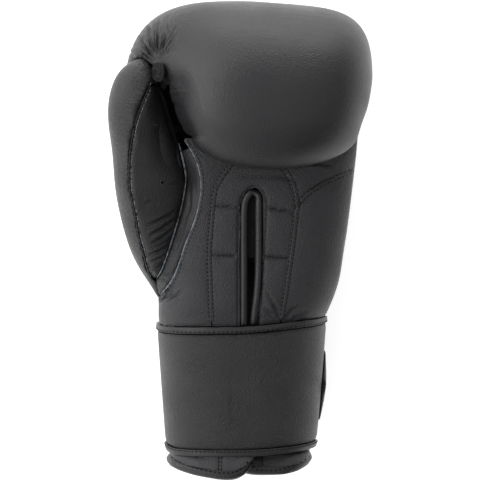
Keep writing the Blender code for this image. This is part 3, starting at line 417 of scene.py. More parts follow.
def grain_group(name):
    """Leather grain: pebbles, soft wrinkles and a slow mottle."""
    group, nodes, links, given, wanted = new_group(name, (
        ("Vector", "Vector", None), ("Pebble scale", "Float", 1100.0),
        ("Wrinkle scale", "Float", 160.0), ("Wrinkle share", "Float", 0.5)), ("Height", "Mottle"))
    pebble = add_node(nodes, "TexVoronoi", {"Smoothness": 0.6, "Randomness": 0.9},
                      feature="SMOOTH_F1")
    fine = add_node(nodes, "TexNoise", {"Detail": 3.0})
    wrinkle = add_node(nodes, "TexNoise", {"Detail": 4.0, "Roughness": 0.6, "Distortion": 1.4})
    mottle = add_node(nodes, "TexNoise", {"Scale": 38.0, "Detail": 3.0})
    first = number_step(nodes, "MULTIPLY_ADD", 0.4)
    both = number_step(nodes, "MULTIPLY_ADD")
    finer = chain(links, given["Pebble scale"], number_step(nodes, "MULTIPLY", 2.3))
    join(links, (given["Vector"], pebble.inputs["Vector"]), (finer, fine.inputs["Scale"]),
         (given["Pebble scale"], pebble.inputs["Scale"]), (pebble.outputs[0], first.inputs[2]),
         (given["Wrinkle scale"], wrinkle.inputs["Scale"]),
         (given["Wrinkle share"], both.inputs[1]),
         (chain(links, given["Vector"], fine, first), both.inputs[2]),
         (chain(links, given["Vector"], wrinkle, both), wanted["Height"]),
         (chain(links, given["Vector"], mottle), wanted["Mottle"]))
    return group


def valleys(nodes, links, grid, thin):
    """Thin valleys where a noise crosses its middle: 1 in the valley and 0 beside it."""
    noise = add_node(nodes, "TexNoise", {"Scale": 1.0, "Detail": 1.5, "Distortion": 0.35})
    return chain(links, grid, noise, number_step(nodes, "SUBTRACT", 0.5),
                 number_step(nodes, "ABSOLUTE"), range_step(nodes, 0.0, thin, 1.0, 0.0))


def creased_place_group(name):
    """Fine creases that run one way in one place and fade out round it."""
    group, nodes, links, given, wanted = new_group(name, (
        ("Vector", "Vector", None), ("Centre", "Vector", None), ("Turn", "Float", 0.0),
        ("Reach", "Vector", (0.01, 0.01, 0.03)), ("Lines per metre", "Float", 500.0)))
    centred, share = vector_step(nodes, "SUBTRACT"), vector_step(nodes, "DIVIDE")
    turned = add_node(nodes, "VectorRotate", rotation_type="Z_AXIS", invert=True)
    grid, depth = vector_step(nodes, "SCALE"), number_step(nodes, "MULTIPLY")
    join(links, (given["Centre"], centred.inputs[1]), (given["Turn"], turned.inputs["Angle"]),
         (given["Reach"], share.inputs[1]), (given["Lines per metre"], grid.inputs["Scale"]))
    place = chain(links, given["Vector"], centred, turned)
    fade = chain(links, place, share, vector_step(nodes, "LENGTH"),
                 range_step(nodes, 0.3, 1.0, 1.0, 0.0))
    lines = chain(links, place, vector_step(nodes, "MULTIPLY", (0.15, 1.0, 0.35)), grid)
    sunk = chain(links, valleys(nodes, links, lines, 0.07), depth,
                 number_step(nodes, "MULTIPLY", -1.0))
    join(links, (fade, depth.inputs[1]), (sunk, wanted["Height"]))
    return group


def gathered_place_group(name):
    """Fine creases that fan out from one place, over the sector that faces the knuckles."""
    group, nodes, links, given, wanted = new_group(name, (
        ("Vector", "Vector", None), ("Centre", "Vector", None), ("Reach", "Float", 0.03),
        ("Lines per radian", "Float", 7.0)))
    centred, share = vector_step(nodes, "SUBTRACT"), number_step(nodes, "DIVIDE")
    split, grid = add_node(nodes, "SeparateXYZ"), add_node(nodes, "CombineXYZ")
    turn, across = number_step(nodes, "ARCTAN2"), number_step(nodes, "MULTIPLY")
    join(links, (given["Centre"], centred.inputs[1]), (given["Reach"], share.inputs[1]),
         (given["Lines per radian"], across.inputs[1]), (split.outputs["Y"], turn.inputs[1]))
    place = chain(links, given["Vector"], centred)
    length = chain(links, place, vector_step(nodes, "MULTIPLY", (1.0, 1.0, 0.25)),
                   vector_step(nodes, "LENGTH"), share, number_step(nodes, "MULTIPLY", 2.2))
    links.new(length, grid.inputs["Y"])
    height = valleys(nodes, links, chain(links, place, split, turn, across, grid), 0.09)
    for source, limits in ((share, (0.06, 0.2, 0.0, 1.0)), (share, (0.45, 1.0, 1.0, 0.0)),
                           (turn, (-1.7, -1.1, 0.0, 1.0)), (turn, (0.30, 0.75, 1.0, 0.0))):
        product = number_step(nodes, "MULTIPLY")
        fade = chain(links, source.outputs[0], range_step(nodes, *limits))
        links.new(fade, product.inputs[1])
        height = chain(links, height, product)
    links.new(chain(links, height, number_step(nodes, "MULTIPLY", -1.0)), wanted["Height"])
    return group


GROUPS = {"Leather grain": grain_group, "Creased place": creased_place_group,
          "Gathered place": gathered_place_group}


def group_node(nodes, name, inputs):
    """A node of one of the GROUPS, which is made when it is first asked for."""
    group = bpy.data.node_groups.get(name) or GROUPS[name](name)
    return add_node(nodes, "Group", inputs, node_tree=group)


# Creased places of each leather: plan step, height in mm, the way the creases run in degrees,
# reach along and across in mm, lines per metre, and depth
CREASED_PLACES = {
    "pad": ((172, 96, 85, 4, 8, 24, 480, 1.6), (166, 34, 90, 78, 20, 16, 420, 1.5),
            (140, 48, 80, -58, 12, 9, 480, 2.2), (340, 150, 80, 20, 22, 12, 380, 0.8)),
    "palm": ((206, 210, 65, -50, 13, 22, 620, 1.0), (227, 232, 65, -42, 12, 16, 560, 0.8),
             (197, 200, 65, -38, 8, 28, 620, 0.8), (272, 308, 60, 62, 14, 13, 420, 1.6),
             (296, 308, 60, 118, 12, 10, 420, 1.2), (318, 166, 60, 5, 22, 6, 480, 1.6),
             (300, 222, 62, 35, 9, 18, 560, 0.8), (335, 186, 58, 25, 18, 6, 560, 0.9),
             (176, 296, 62, 52, 10, 12, 480, 1.2), (262, 196, 64, 30, 12, 9, 560, 0.8)),
    "thumb": ((124, 118, 82, -18, 9, 28, 560, 1.6), (124, 170, 78, 6, 8, 30, 560, 0.9),
              (141, 66, 90, 30, 10, 10, 480, 0.8), (133, 235, 74, 20, 8, 26, 520, 0.8)),
    "thin": ((163, 222, 72, 24, 20, 9, 480, 1.5), (160, 250, 70, 18, 16, 12, 480, 1.6),
             (184, 225, 66, 68, 30, 9, 620, 1.0), (166, 280, 64, 60, 12, 8, 560, 1.4),
             (158, 196, 76, -70, 12, 14, 420, 0.6)),
    "strap": ((231, 398, 58, 90, 34, 3.2, 780, 2.4), (200, 366, 58, 12, 22, 12, 560, 1.1),
              (248, 372, 58, -12, 22, 14, 560, 0.7), (178, 410, 58, 80, 20, 8, 480, 0.6)),
}
GATHERED_PLACES = {"pad": ((158, 66, 90, 40, 7.0, 7.0),)}
CREASE_HEIGHT_REACH = 30 * MM         # how far a creased place reaches up and down


def add_creases(nodes, links, place, height, name):
    """The height with the creases of a leather's creased and gathered places sunk into it."""
    found = [(group_node(nodes, "Creased place", {
        "Centre": (*on_plan((x, y))[0], z * MM), "Turn": math.radians(turn),
        "Reach": (along * MM, across * MM, CREASE_HEIGHT_REACH), "Lines per metre": lines}), depth)
        for x, y, z, turn, along, across, lines, depth in CREASED_PLACES.get(name, ())]
    found += [(group_node(nodes, "Gathered place", {
        "Centre": (*on_plan((x, y))[0], z * MM), "Reach": reach * MM,
        "Lines per radian": lines}), depth)
        for x, y, z, reach, lines, depth in GATHERED_PLACES.get(name, ())]
    for step, depth in found:
        total = number_step(nodes, "MULTIPLY_ADD", depth)
        links.new(height, total.inputs[2])
        height = chain(links, place, step, total)
    return height


def blank_material(name, inputs):
    """A material with its nodes and links, the object's coordinates and the shader's inputs."""
    made = bpy.data.materials.new(name)
    made.use_nodes = True
    nodes = made.node_tree.nodes
    shader = nodes["Principled BSDF"]
    for label, value in inputs.items():
        shader.inputs[label].default_value = value
    place = add_node(nodes, "TexCoord").outputs["Object"]
    return made, nodes, made.node_tree.links, place, shader.inputs


def add_bump(nodes, links, height, surface, strength, distance):
    bump = add_node(nodes, "Bump", {"Strength": strength, "Distance": distance})
    join(links, (height, bump.inputs["Height"]), (bump.outputs["Normal"], surface["Normal"]))


def leather_material(name, colour, roughness, depth, stretch=(1.0, 1.0, 1.0),
                     wrinkle_scale=420.0, wrinkle_share=0.5, specular=0.5, creases=""):
    """Dyed leather: grain and wrinkles in the bump, mottle in the colour and the gloss."""
    made, nodes, links, place, surface = blank_material(name, {"Specular IOR Level": specular})
    grain = group_node(nodes, "Leather grain", {
        "Pebble scale": 1.0 / sizes().grain_size, "Wrinkle scale": wrinkle_scale,
        "Wrinkle share": wrinkle_share})
    height = chain(links, place, add_node(nodes, "Mapping", {"Scale": stretch}), grain)
    mottle = grain.outputs["Mottle"]
    tone = chain(links, mottle, tone_step(nodes, *shades(colour, 0.82, 1.18)))
    gloss = chain(links, mottle, range_step(nodes, 0.3, 0.7, roughness + 0.05, roughness - 0.05,
                                            "LINEAR"))
    join(links, (tone, surface["Base Color"]), (gloss, surface["Roughness"]))
    height = add_creases(nodes, links, place, height, creases)
    add_bump(nodes, links, height, surface, depth, 0.5 * MM)
    return made


def thread_material(name, colour):
    """Twisted thread."""
    made, nodes, links, place, surface = blank_material(
        name, {"Roughness": 0.7, "Specular IOR Level": 0.3})
    twist = chain(links, place, add_node(nodes, "TexNoise", {"Scale": 4200.0}))
    tone = chain(links, twist, tone_step(nodes, *shades(colour, 0.6, 1.5)))
    links.new(tone, surface["Base Color"])
    add_bump(nodes, links, twist, surface, 0.4, 0.1 * MM)
    return made


def cut_edge_material(name, scale, contrast):
    """The fibres of a cut edge, with the dye on some of them; where the contrast is small, its
    sharp pale dots are painted glints.
    """
    made, nodes, links, place, surface = blank_material(name, {"Roughness": 0.85})
    fibre = add_node(nodes, "TexNoise", {"Scale": scale, "Detail": 4.0})
    spread = range_step(nodes, 0.5 - contrast, 0.5 + contrast, kind="LINEAR")
    tone = tone_step(nodes, *shades(colours().cut_edge, 0.12, 1.5))
    links.new(chain(links, place, fibre, spread, tone), surface["Base Color"])
    return made


def elastic_material():
    """Woven elastic: narrow ribs crossed by finer ones."""
    made, nodes, links, place, surface = blank_material("Woven elastic", {"Roughness": 0.9})
    both = number_step(nodes, "MULTIPLY")
    for k, (way, scale) in enumerate((("Y", 260.0), ("X", 420.0))):
        ribs = add_node(nodes, "TexWave", {"Scale": scale}, bands_direction=way)
        join(links, (place, ribs.inputs["Vector"]), (ribs.outputs["Fac"], both.inputs[k]))
    tone = tone_step(nodes, (0.004, 0.004, 0.003), (0.020, 0.020, 0.017))
    links.new(chain(links, both.outputs[0], tone), surface["Base Color"])
    add_bump(nodes, links, both.outputs[0], surface, 0.6, 0.3 * MM)
    return made


MATERIALS = {}
# Leathers: name, share of the leather's colour, roughness, bump, stretch of the grain, wrinkles
# per metre, share of the wrinkles, and specular level
LEATHERS = {
    "pad": ("Pad leather", 1.0, 0.41, 0.42, (1.0, 1.2, 1.0), 420.0, 0.6),
    "palm": ("Palm leather", 1.6, 0.46, 0.75, (1.0, 1.5, 1.0), 380.0, 1.2),
    "thumb": ("Thumb leather", 1.0, 0.42, 0.6, (0.8, 1.5, 1.0), 320.0, 0.9),
    "thin": ("Thin leather", 1.0, 0.52, 0.5, (1.0, 1.0, 1.0), 420.0, 1.0),
    "strap": ("Strap leather", 1.0, 0.43, 0.95, (1.0, 1.5, 1.0), 480.0, 1.5),
    "binding": ("Binding leather", 1.0, 0.42, 0.4, (1.0, 1.0, 1.0), 420.0, 0.5),
    "tie": ("Tie leather", 0.45, 0.6, 0.5, (1.0, 1.0, 1.0), 520.0, 1.5, 0.25),
}


def material(name):
    """The finish of one kind of surface, made when it is first asked for."""
    if name not in MATERIALS and name in LEATHERS:
        label, share, *look = LEATHERS[name]
        # The thin leather's darker colour is partly painted shade, and the tie takes it too
        dye = colours().thin_leather if name in ("thin", "tie") else colours().leather
        MATERIALS[name] = leather_material(label, [share * c for c in dye], *look, creases=name)
    elif name not in MATERIALS:
        MATERIALS[name] = {
            "thread": lambda: thread_material("Sewing thread", colours().thread),
            # Pale thread colour: painted glints on the dark threads that cross the tie
            "thread_with_painted_glints": lambda: thread_material("Thread with painted glints",
                                                   [0.3 * c for c in colours().cut_edge]),
            "cut_edge": lambda: cut_edge_material("Cut leather edge", 420.0, 0.22),
            # Cut edge along the thumb's seam: a real raw edge, with its sharp pale dots painted
            # glints between the stitches
            "cut_edge_painted_glints": lambda: cut_edge_material("Cut leather edge with painted glints", 700.0, 0.06),
            "elastic": elastic_material,
        }[name]()
    return MATERIALS[name]


# Fist pad

# Creases of the shoulder, which fan out from the tie: direction, reach in plan steps, and depth
GATHERS = ((146, 30, 0.8), (137, 34, 1.0), (128, 38, 0.9), (119, 42, 1.2), (111, 46, 1.0),
           (103, 50, 1.3), (96, 52, 1.1), (89, 53, 1.2), (81, 50, 0.9), (73, 44, 0.7),
           (64, 36, 0.5))
GATHER_START = 8.0                    # where the creases begin, in plan steps from the tie
GATHER_WIDTH = 0.85 * MM
SHOULDER_CREASES = (
    (((128, 50), (132, 55), (137, 61)), 0.5, 0.9),
    (((131, 45), (136, 51), (142, 59)), 0.5, 0.9),
)


def shoulder_gathers(places, normals):
    """Folds of the fist's shoulder, which fan out from the tie at the thumb's tip."""
    plan = places[:, :2]
    total = np.zeros(len(plan))
    for k, (turn, reach, depth) in enumerate(GATHERS):
        way = np.array([math.cos(math.radians(turn)), math.sin(math.radians(turn))])
        side = np.array([-way[1], way[0]]) * PLAN_SCALE * (1.6 if k % 2 else -1.3)
        path = np.array([TIE_POINT + way * PLAN_SCALE * lerp(GATHER_START, reach, t)
                         + side * math.sin(math.pi * t) for t in (0.0, 0.35, 0.7, 1.0)])
        total += crease(plan, path, depth * sizes().fold_depth, GATHER_WIDTH, 0.4)
    total = add_table(total, plan, SHOULDER_CREASES, sizes().fold_depth)
    return np.where(places[:, 2] > 35 * MM, total, 0.0)


def tie_pinch(places, normals):
    """The pull of the tie on the leather around it."""
    rel = places[:, :2] - TIE_POINT
    away = np.hypot(rel[:, 0], rel[:, 1])
    return np.where(places[:, 2] > 60 * MM, -1.4 * MM * bell(away, 7 * MM), 0.0)


FULL_TURN = 2 * math.pi
WAVES = 6
# Unevenness of the surfaces: depth and wave length in mm, and the seed of its random draws
UNEVENNESS = {
    "pad": (0.25, 55, 3), "thumb": (0.2, 30, 8), "lining": (0.35, 22, 11), "web": (0.2, 12, 5),
    "palm": (0.22, 30, 21), "slit": (0.12, 14, 9), "strap": (0.18, 24, 14), "hem": (0.10, 16, 15),
    "cuff": (0.2, 20, 16), "cuff hem": (0.12, 12, 17), "tie": (0.35, 3.2, 18),
}


def soft_waves(places, name):
    """Slow unevenness of a soft skin, from a few crossed waves."""
    depth, size, seed = UNEVENNESS[name]
    size = size * MM
    rng = np.random.default_rng(seed)
    total = np.zeros(len(places))
    for _ in range(WAVES):
        way = rng.normal(size=3)
        way /= np.linalg.norm(way)
        length = size * rng.uniform(0.6, 1.6)
        total += np.sin(FULL_TURN * (places @ way) / length + rng.uniform(0, 6.28))
    return depth * MM * (total / WAVES)


# The roll's edge towards the thumb, and how far from it the roll's corner is drawn in
ROLL_EDGE = on_plan((162, 64), (164.5, 74), (168.5, 89), (172.5, 104), (177.5, 118),
                    (184.5, 133), (192, 142), (200, 149))
ROLL_CORNER = 18 * MM
ROLL_HEIGHTS = (50 * MM, 64 * MM)     # where the drawing in begins and where it is full
ROLL_OVERHANG = 8.5 * MM              # the most that the flank is drawn in
ROLL_FADES = (7 * MM, 13 * MM)        # how soon it begins at the edge's lower and upper ends
ROLL_RIDGE, ROLL_RIDGE_PLACE, ROLL_RIDGE_WIDTH = 2.0 * MM, 4.0 * MM, 4.5 * MM
ROLL_NOTCH = on_plan((170, 104), (176, 107), (182, 108))


def draw_in_roll(piece):
    """Draws the roll's flank in to its edge beside the thumb, so that its corner is firm."""
    places, normals = points_of(piece)
    rows = ROLL_EDGE[::-1]
    edge = np.interp(places[:, 1], rows[:, 1], rows[:, 0])
    high = ease((places[:, 2] - ROLL_HEIGHTS[0]) / (ROLL_HEIGHTS[1] - ROLL_HEIGHTS[0]))
    ends = (ease((places[:, 1] - rows[0, 1]) / ROLL_FADES[0])
            * ease((rows[-1, 1] - places[:, 1]) / ROLL_FADES[1]))
    steps = np.linspace(rows[0, 1], rows[-1, 1], 40)
    upper = places[:, 2] > ROLL_HEIGHTS[1]
    lowest = []
    for y in steps:
        row = places[upper & (np.abs(places[:, 1] - y) < 1.5 * MM)]
        lowest.append(row[:, 0].min())
    over = np.minimum(edge - np.interp(places[:, 1], steps, lowest), ROLL_OVERHANG)
    inside = places[:, 0] - edge
    drawn = ROLL_CORNER * (inside + over) / (ROLL_CORNER + over)
    near = (inside < ROLL_CORNER) & (over > 0)
    places[:, 0] += np.where(near, high * ends * (drawn - inside), 0.0)
    ridge = ROLL_RIDGE * bell(places[:, 0] - edge - ROLL_RIDGE_PLACE, ROLL_RIDGE_WIDTH)
    places[:, 2] += np.where(normals[:, 2] > 0, high * ends * ridge, 0.0)
    set_points(piece, places)


def make_fist_pad():
    piece = dressed("padded_shell", "fist_cover", 1, 55, 0.8)
    remesh(piece, 1.6 * MM, 5)
    refine(piece, Vector((*TIE_POINT, 100 * MM)), 42 * MM)
    draw_in_roll(piece)

    def shape(places, normals):
        notch = crease(places[:, :2], ROLL_NOTCH, 0.5 * MM, 1.4 * MM)
        up = places[:, 2] > 60 * MM
        return (shoulder_gathers(places, normals) + tie_pinch(places, normals)
                + np.where(up, notch, 0.0) + soft_waves(places, "pad"))

    push(piece, shape)
    finish_piece(piece, material("pad"), "padded_shell")


# Thumb


SIDE_PUCKER_WIDTH = 0.4 * MM          # how far puckers cross to the seam's other side


def puckers(plan, path, side_sign, depth, reach, pitch, seed):
    """Small folds that run away from a seam on one side of it."""
    rng = np.random.default_rng(seed)
    dist, side, run = along_path(plan, path)
    share = run / path_length(path)
    phase = FULL_TURN * run / pitch
    for k in range(1, 4):
        swing = rng.uniform(0.8, 1.6)
        phase = phase + swing * np.sin(FULL_TURN * share * k * 1.7 + rng.uniform(0, 6.28))
    wave = np.sin(phase)
    fade = np.where(side == side_sign, np.exp(-dist / reach), bell(dist, SIDE_PUCKER_WIDTH))
    return depth * fade * (wave - 0.3) * ease(share / 0.08) * ease((1 - share) / 0.15)


def make_thumb_cover():
    piece = dressed("thumb_pad", "thumb_cover", 1, 55)
    remesh(piece, 1.1 * MM, 6)

    def shape(places, normals):
        plan = places[:, :2]
        up = facing_up(normals)
        dist, side, run = along_path(plan, THUMB_SEAM)
        pucker = puckers(plan, THUMB_SEAM, -1, sizes().pucker_depth, 6.5 * MM, 3.1 * MM, 4)
        seam = pucker - 0.5 * MM * bell(dist, 1.0 * MM)
        return up * seam + soft_waves(places, "thumb")

    push(piece, shape)
    finish_piece(piece, material("thumb"), "thumb_pad")


LINING_CREASES = (
    (((147, 226), (160, 221), (179, 211)), 1.0, 1.1),
    (((148, 237), (163, 229), (178, 218)), 1.2, 1.0),
    (((150, 245), (163, 238), (174, 229)), 0.7, 0.9),
    (((147, 255.5), (159, 252), (171, 245)), 1.2, 0.9),
    (((148, 262), (157, 260), (167, 254)), 0.8, 0.8),
    (((150, 270), (157, 269), (163, 264)), 0.6, 0.7),
    (((170, 185), (177, 183), (184, 184)), 0.5, 1.0),
    (((145, 205), (152, 202), (160, 206)), 0.35, 1.2),
)


AIR_HOLES = on_plan((157, 125), (163, 183))
HOLE_DEPTH, HOLE_RADIUS = 1.9 * MM, 0.55 * MM
HOLE_RIM, HOLE_RIM_RADIUS, HOLE_RIM_WIDTH = 0.28 * MM, 1.15 * MM, 0.35 * MM
LINING_SINK = 5 * MM                  # how far the lining drops towards the roll
LINING_SINK_START = on_plan((146, 0))[0][0]


def piece_height(piece, centre):
    """Height of a piece's upper face over a plan point."""
    places, normals = points_of(piece)
    near = np.hypot(*(places[:, :2] - centre).T) < 1.5 * MM
    return float(places[near & (normals[:, 2] > 0), 2].max())


def make_thumb_lining():
    piece = dressed("thumb_inner", "thumb_lining", 1, 55)
    remesh(piece, 0.8 * MM, 6)
    for centre in AIR_HOLES:
        for radius in (4.5 * MM, 3.0 * MM):
            refine(piece, Vector((*centre, piece_height(piece, centre))), radius)

    def shape(places, normals):
        plan = places[:, :2]
        up = facing_up(normals)
        dist, side, run = along_path(plan, THUMB_SEAM)
        total = soft_waves(places, "lining") - 0.8 * MM * bell(dist, 2.2 * MM)
        total = add_table(total, plan, LINING_CREASES, sizes().crease_depth)
        sink = (ease((plan[:, 0] - LINING_SINK_START) / (20 * MM))
                * ease((plan[:, 1] - 30 * MM) / (30 * MM)))
        total = total - LINING_SINK * sink
        for centre in AIR_HOLES:
            away = np.hypot(*(plan - centre).T)
            total = (total - HOLE_DEPTH * bell(away, HOLE_RADIUS)
                     + HOLE_RIM * bell(away - HOLE_RIM_RADIUS, HOLE_RIM_WIDTH))
        return up * total

    push(piece, shape)
    finish_piece(piece, material("thin"), "thumb_inner")


WEB_CREASES = (
    (((190, 175), (190, 205), (181, 236), (171, 262)), 0.5, 1.0),
    (((163, 272), (168, 273), (173, 276)), 0.6, 0.8),
    (((160, 279), (165, 279), (170, 282)), 0.5, 0.8),
)


def make_thumb_web():
    piece = dressed("thumb_web", "thumb_web_strip")

    def shape(places, normals):
        plan = places[:, :2]
        up = facing_up(normals)
        lengthwise = add_table(0.0, plan, WEB_CREASES, MM)
        return up * (lengthwise + soft_waves(places, "web"))

    push(piece, shape)
    roll_edges(piece, 0.5 * MM, 1.2 * MM)
    finish_piece(piece, material("thin"), "thumb_web")


# Palm leather

PALM_CREASES = (
    (((292, 168), (304, 163), (318, 163), (334, 167)), 1.0, 1.4),
    (((232, 178), (250, 175), (280, 176), (300, 181)), 0.5, 2.0),
    (((270, 300), (276, 309), (280, 319)), 0.9, 1.2),
    (((262, 306), (270, 313), (277, 320)), 0.7, 1.2),
    (((300, 303), (292, 310), (285, 319)), 0.9, 1.2),
    (((309, 308), (300, 314), (291, 320)), 0.6, 1.2),
    (((265, 290), (272, 300), (279, 311)), 0.5, 1.2),
    (((303, 205), (308, 200), (316, 196)), 0.5, 1.3),
    (((340, 184), (334, 186), (329, 190)), 0.5, 1.3),
)
# Puckers along the palm's seams: seam, its side, depth, reach and pitch in mm, and seed
PALM_PUCKERS = ((LEFT_SEAM[2:7], -1, 0.22, 5, 2.6, 31), (LEFT_SEAM[2:7], 1, 0.16, 6, 2.6, 32),
                (BRANCH_SEAM, 1, 0.14, 4, 3.0, 33))
CROSS_STITCHES = (
    on_plan((216, 206.5), (228, 206.7), (238, 207.6)),
    on_plan((269.5, 208), (282, 210.4), (295, 212.3)),
    on_plan((212, 254.7), (223, 255.8), (234.5, 256.3)),
    on_plan((266, 256), (277, 257.6), (288.5, 258.6)),
)


SLIT_OUTLINE = on_plan((247.5, 326), (247.5, 250), (248, 215), (251, 200), (255.5, 196),
                       (257.5, 203), (255.5, 250), (252.5, 290), (250.5, 326))
PANEL_CROWN = 0.9 * MM                # how far the panels rise between their sewn lines


def palm_shape(places, normals):
    """Folds, puckers and sewn channels of the palm leather."""
    plan = places[:, :2]
    up = facing_up(normals, 0.1, 0.3)
    total = soft_waves(places, "palm")
    total = add_table(total, plan, PALM_CREASES, sizes().crease_depth)
    for path in CROSS_STITCHES:
        total = total + groove(plan, path, 0.75 * MM, 0.9 * MM)
    for path, side, depth, reach, pitch, seed in PALM_PUCKERS:
        total = total + puckers(plan, path, side, depth * MM, reach * MM, pitch * MM, seed)
    dist, side, run = along_path(plan, SLIT_OUTLINE)
    total = total - 0.5 * MM * bell(dist - 6.0 * MM, 0.7 * MM) * (dist > 2 * MM)
    away = np.abs(dist - 5.0 * MM)
    for path in (LEFT_SEAM, RIGHT_SEAM, BRANCH_SEAM, *CROSS_STITCHES):
        away = np.minimum(away, along_path(plan, path)[0])
    room = ease((plan[:, 1] + 51 * MM) / (10 * MM))
    total = total + PANEL_CROWN * room * (1 - np.exp(-away / (4 * MM)))
    return up * total


def make_palm():
    for node, name in (("palm_thumb_side", "palm_leather_thumb_side"),
                       ("palm_centre", "palm_leather_centre"),
                       ("palm_heel", "palm_leather_heel"),
                       ("palm_finger_side", "palm_leather_finger_side")):
        piece = dressed(node, name)
        push(piece, palm_shape)
        roll_edges(piece, sizes().seam_roll, 1.3 * MM)
        finish_piece(piece, material("palm"), node)


def make_slit():
    piece = merged_copy("slit_binding", "slit_roll")
    subdivide(piece, 3)
    push(piece, lambda p, n: np.full(len(p), 0.3 * MM))

    def shape(places, normals):
        pinch = bell(np.hypot(*(places[:, :2] - on_plan((256, 190))[0]).T), 2.2 * MM)
        return -0.9 * MM * pinch + soft_waves(places, "slit")

    push(piece, shape)
    finish_piece(piece, material("binding"), "slit_binding")
    piece = dressed("slit_elastic", "slit_elastic_web")
    finish_piece(piece, material("elastic"), "slit_elastic")


# Wrist

WRIST_CENTRE = (1.7 * MM, 38 * MM)


def make_strap():
    piece = dressed("wrist_strap", "strap")

    def shape(places, normals):
        plan = places[:, :2]
        up = facing_up(normals, 0.2, 0.3) * (places[:, 2] > 50 * MM)
        fold = crease(plan, on_plan((190, 352), (205, 362), (222, 366)), 0.3 * MM, 1.2 * MM)
        fold = fold + crease(plan, on_plan((186, 372), (204, 376), (224, 372)), 0.22 * MM, 1.2 * MM)
        return up * fold + soft_waves(places, "strap")

    push(piece, shape)
    roll_edges(piece, 0.6 * MM, 1.4 * MM)
    finish_piece(piece, material("strap"), "wrist_strap")
    for node, name in (("strap_binding_top", "strap_hem_top"),
                       ("strap_binding_bottom", "strap_hem_bottom")):
        piece = dressed(node, name, angle=60, share=0.5)
        push(piece, lambda p, n: soft_waves(p, "hem"))
        finish_piece(piece, material("binding"), node)
    piece = dressed("closure_tab", "strap_end_tab", share=0.7)
    finish_piece(piece, material("strap"), "closure_tab")


FLAP_CROWN = 3.6 * MM                 # how far the cuff's flaps stand out between strap and hem
FLAP_MIDDLE = on_plan((0, 458))[0][1]
FLAP_STITCHES = (on_plan((170, 457), (180, 463), (197, 468.5), (217, 472), (231, 473), (242, 468.5),
                         (248.5, 460)),
                 on_plan((255, 469.5), (275, 470.5), (291, 467), (304, 461), (311, 456)))


def outward(places, normals):
    """How far normals point away from the wrist's middle line, from -1 to 1."""
    rel = places[:, (0, 2)] - np.array(WRIST_CENTRE)
    rel /= np.linalg.norm(rel, axis=1)[:, None]
    return (rel * normals[:, (0, 2)]).sum(axis=1)


def make_cuff():
    piece = dressed("cuff", "cuff_wall")

    def shape(places, normals):
        plan = places[:, :2]
        crown = FLAP_CROWN * bell(plan[:, 1] - FLAP_MIDDLE, 7 * MM)
        sewn = (groove(plan, on_plan((220, 448), (220, 469)), 0.6 * MM, 1.6 * MM)
                + groove(plan, on_plan((262, 448), (262, 466)), 0.5 * MM, 1.3 * MM))
        return (soft_waves(places, "cuff") + crown * (outward(places, normals) > 0.2)
                + np.where(normals[:, 2] > 0.3, sewn, 0.0))

    push(piece, shape)
    finish_piece(piece, material("palm"), "cuff")
    piece = dressed("cuff_binding", "cuff_hem", angle=60, share=0.5)
    push(piece, lambda p, n: 0.4 * MM + soft_waves(p, "cuff hem"))
    finish_piece(piece, material("binding"), "cuff_binding")


def make_lock():
    piece = dressed("thumb_lock", "thumb_tie", 4, 60, 0.3)
    top = points_of(piece)[0][:, 2].max()
    push(piece, lambda p, n: soft_waves(p, "tie")
         - 2.2 * MM * ease(n[:, 2]) * ease((p[:, 2] - top + 8 * MM) / (8 * MM)))
    finish_piece(piece, material("tie"), "thumb_lock")


# Threads


def surface_tree(names):
    """One search tree over the finished surfaces of some pieces."""
    points, faces = [], []
    for name in names:
        mesh = bpy.data.objects[name].data
        shift = len(points)
        points.extend(v.co.copy() for v in mesh.vertices)
        faces.extend([k + shift for k in f.vertices] for f in mesh.polygons)
    return BVHTree.FromPolygons(points, faces)


def single_stitch(length, width):
    """One stitch as points and faces: a short thread bowed up in its middle."""
    bpy.ops.object.select_all(action="DESELECT")
    bpy.ops.mesh.primitive_uv_sphere_add(segments=6, ring_count=5, radius=0.5)
    seed = bpy.context.active_object
    seed.data.transform(Matrix.Rotation(math.pi / 2, 4, "Y"))
    seed.data.transform(Matrix.Diagonal((length, width, 0.8 * width, 1.0)))
    points = np.array([v.co for v in seed.data.vertices])
    faces = [tuple(f.vertices) for f in seed.data.polygons]
    bpy.data.objects.remove(seed)
    return points, faces


def spaced(path, pitch):
    """Points at an even pitch along a path of two or three dimensions, with their directions."""
    steps = np.diff(path, axis=0)
    lengths = np.linalg.norm(steps, axis=1)
    total = lengths.sum()
    count = max(int(total / pitch), 1)
    starts = np.concatenate([[0], np.cumsum(lengths)])
    found = []
    for k in range(count):
        run = (k + 0.5) * total / count
        i = min(int(np.searchsorted(starts, run, side="right")) - 1, len(steps) - 1)
        t = (run - starts[i]) / lengths[i]
        found.append((path[i] + steps[i] * t, steps[i] / lengths[i]))
    return found


def offset_path(path, distance):
    """A plan path moved to its left by a distance."""
    steps = np.gradient(path, axis=0)
    steps /= np.linalg.norm(steps, axis=1)[:, None]
    return path + np.stack([-steps[:, 1], steps[:, 0]], axis=1) * distance


def smooth_path(path, rounds=2):
    """A path with its corners cut."""
    for _ in range(rounds):
        inner = np.concatenate([[0.75 * a + 0.25 * b, 0.25 * a + 0.75 * b]
                                for a, b in zip(path[:-1], path[1:])])
        path = np.concatenate([path[:1], inner, path[-1:]])
    return path


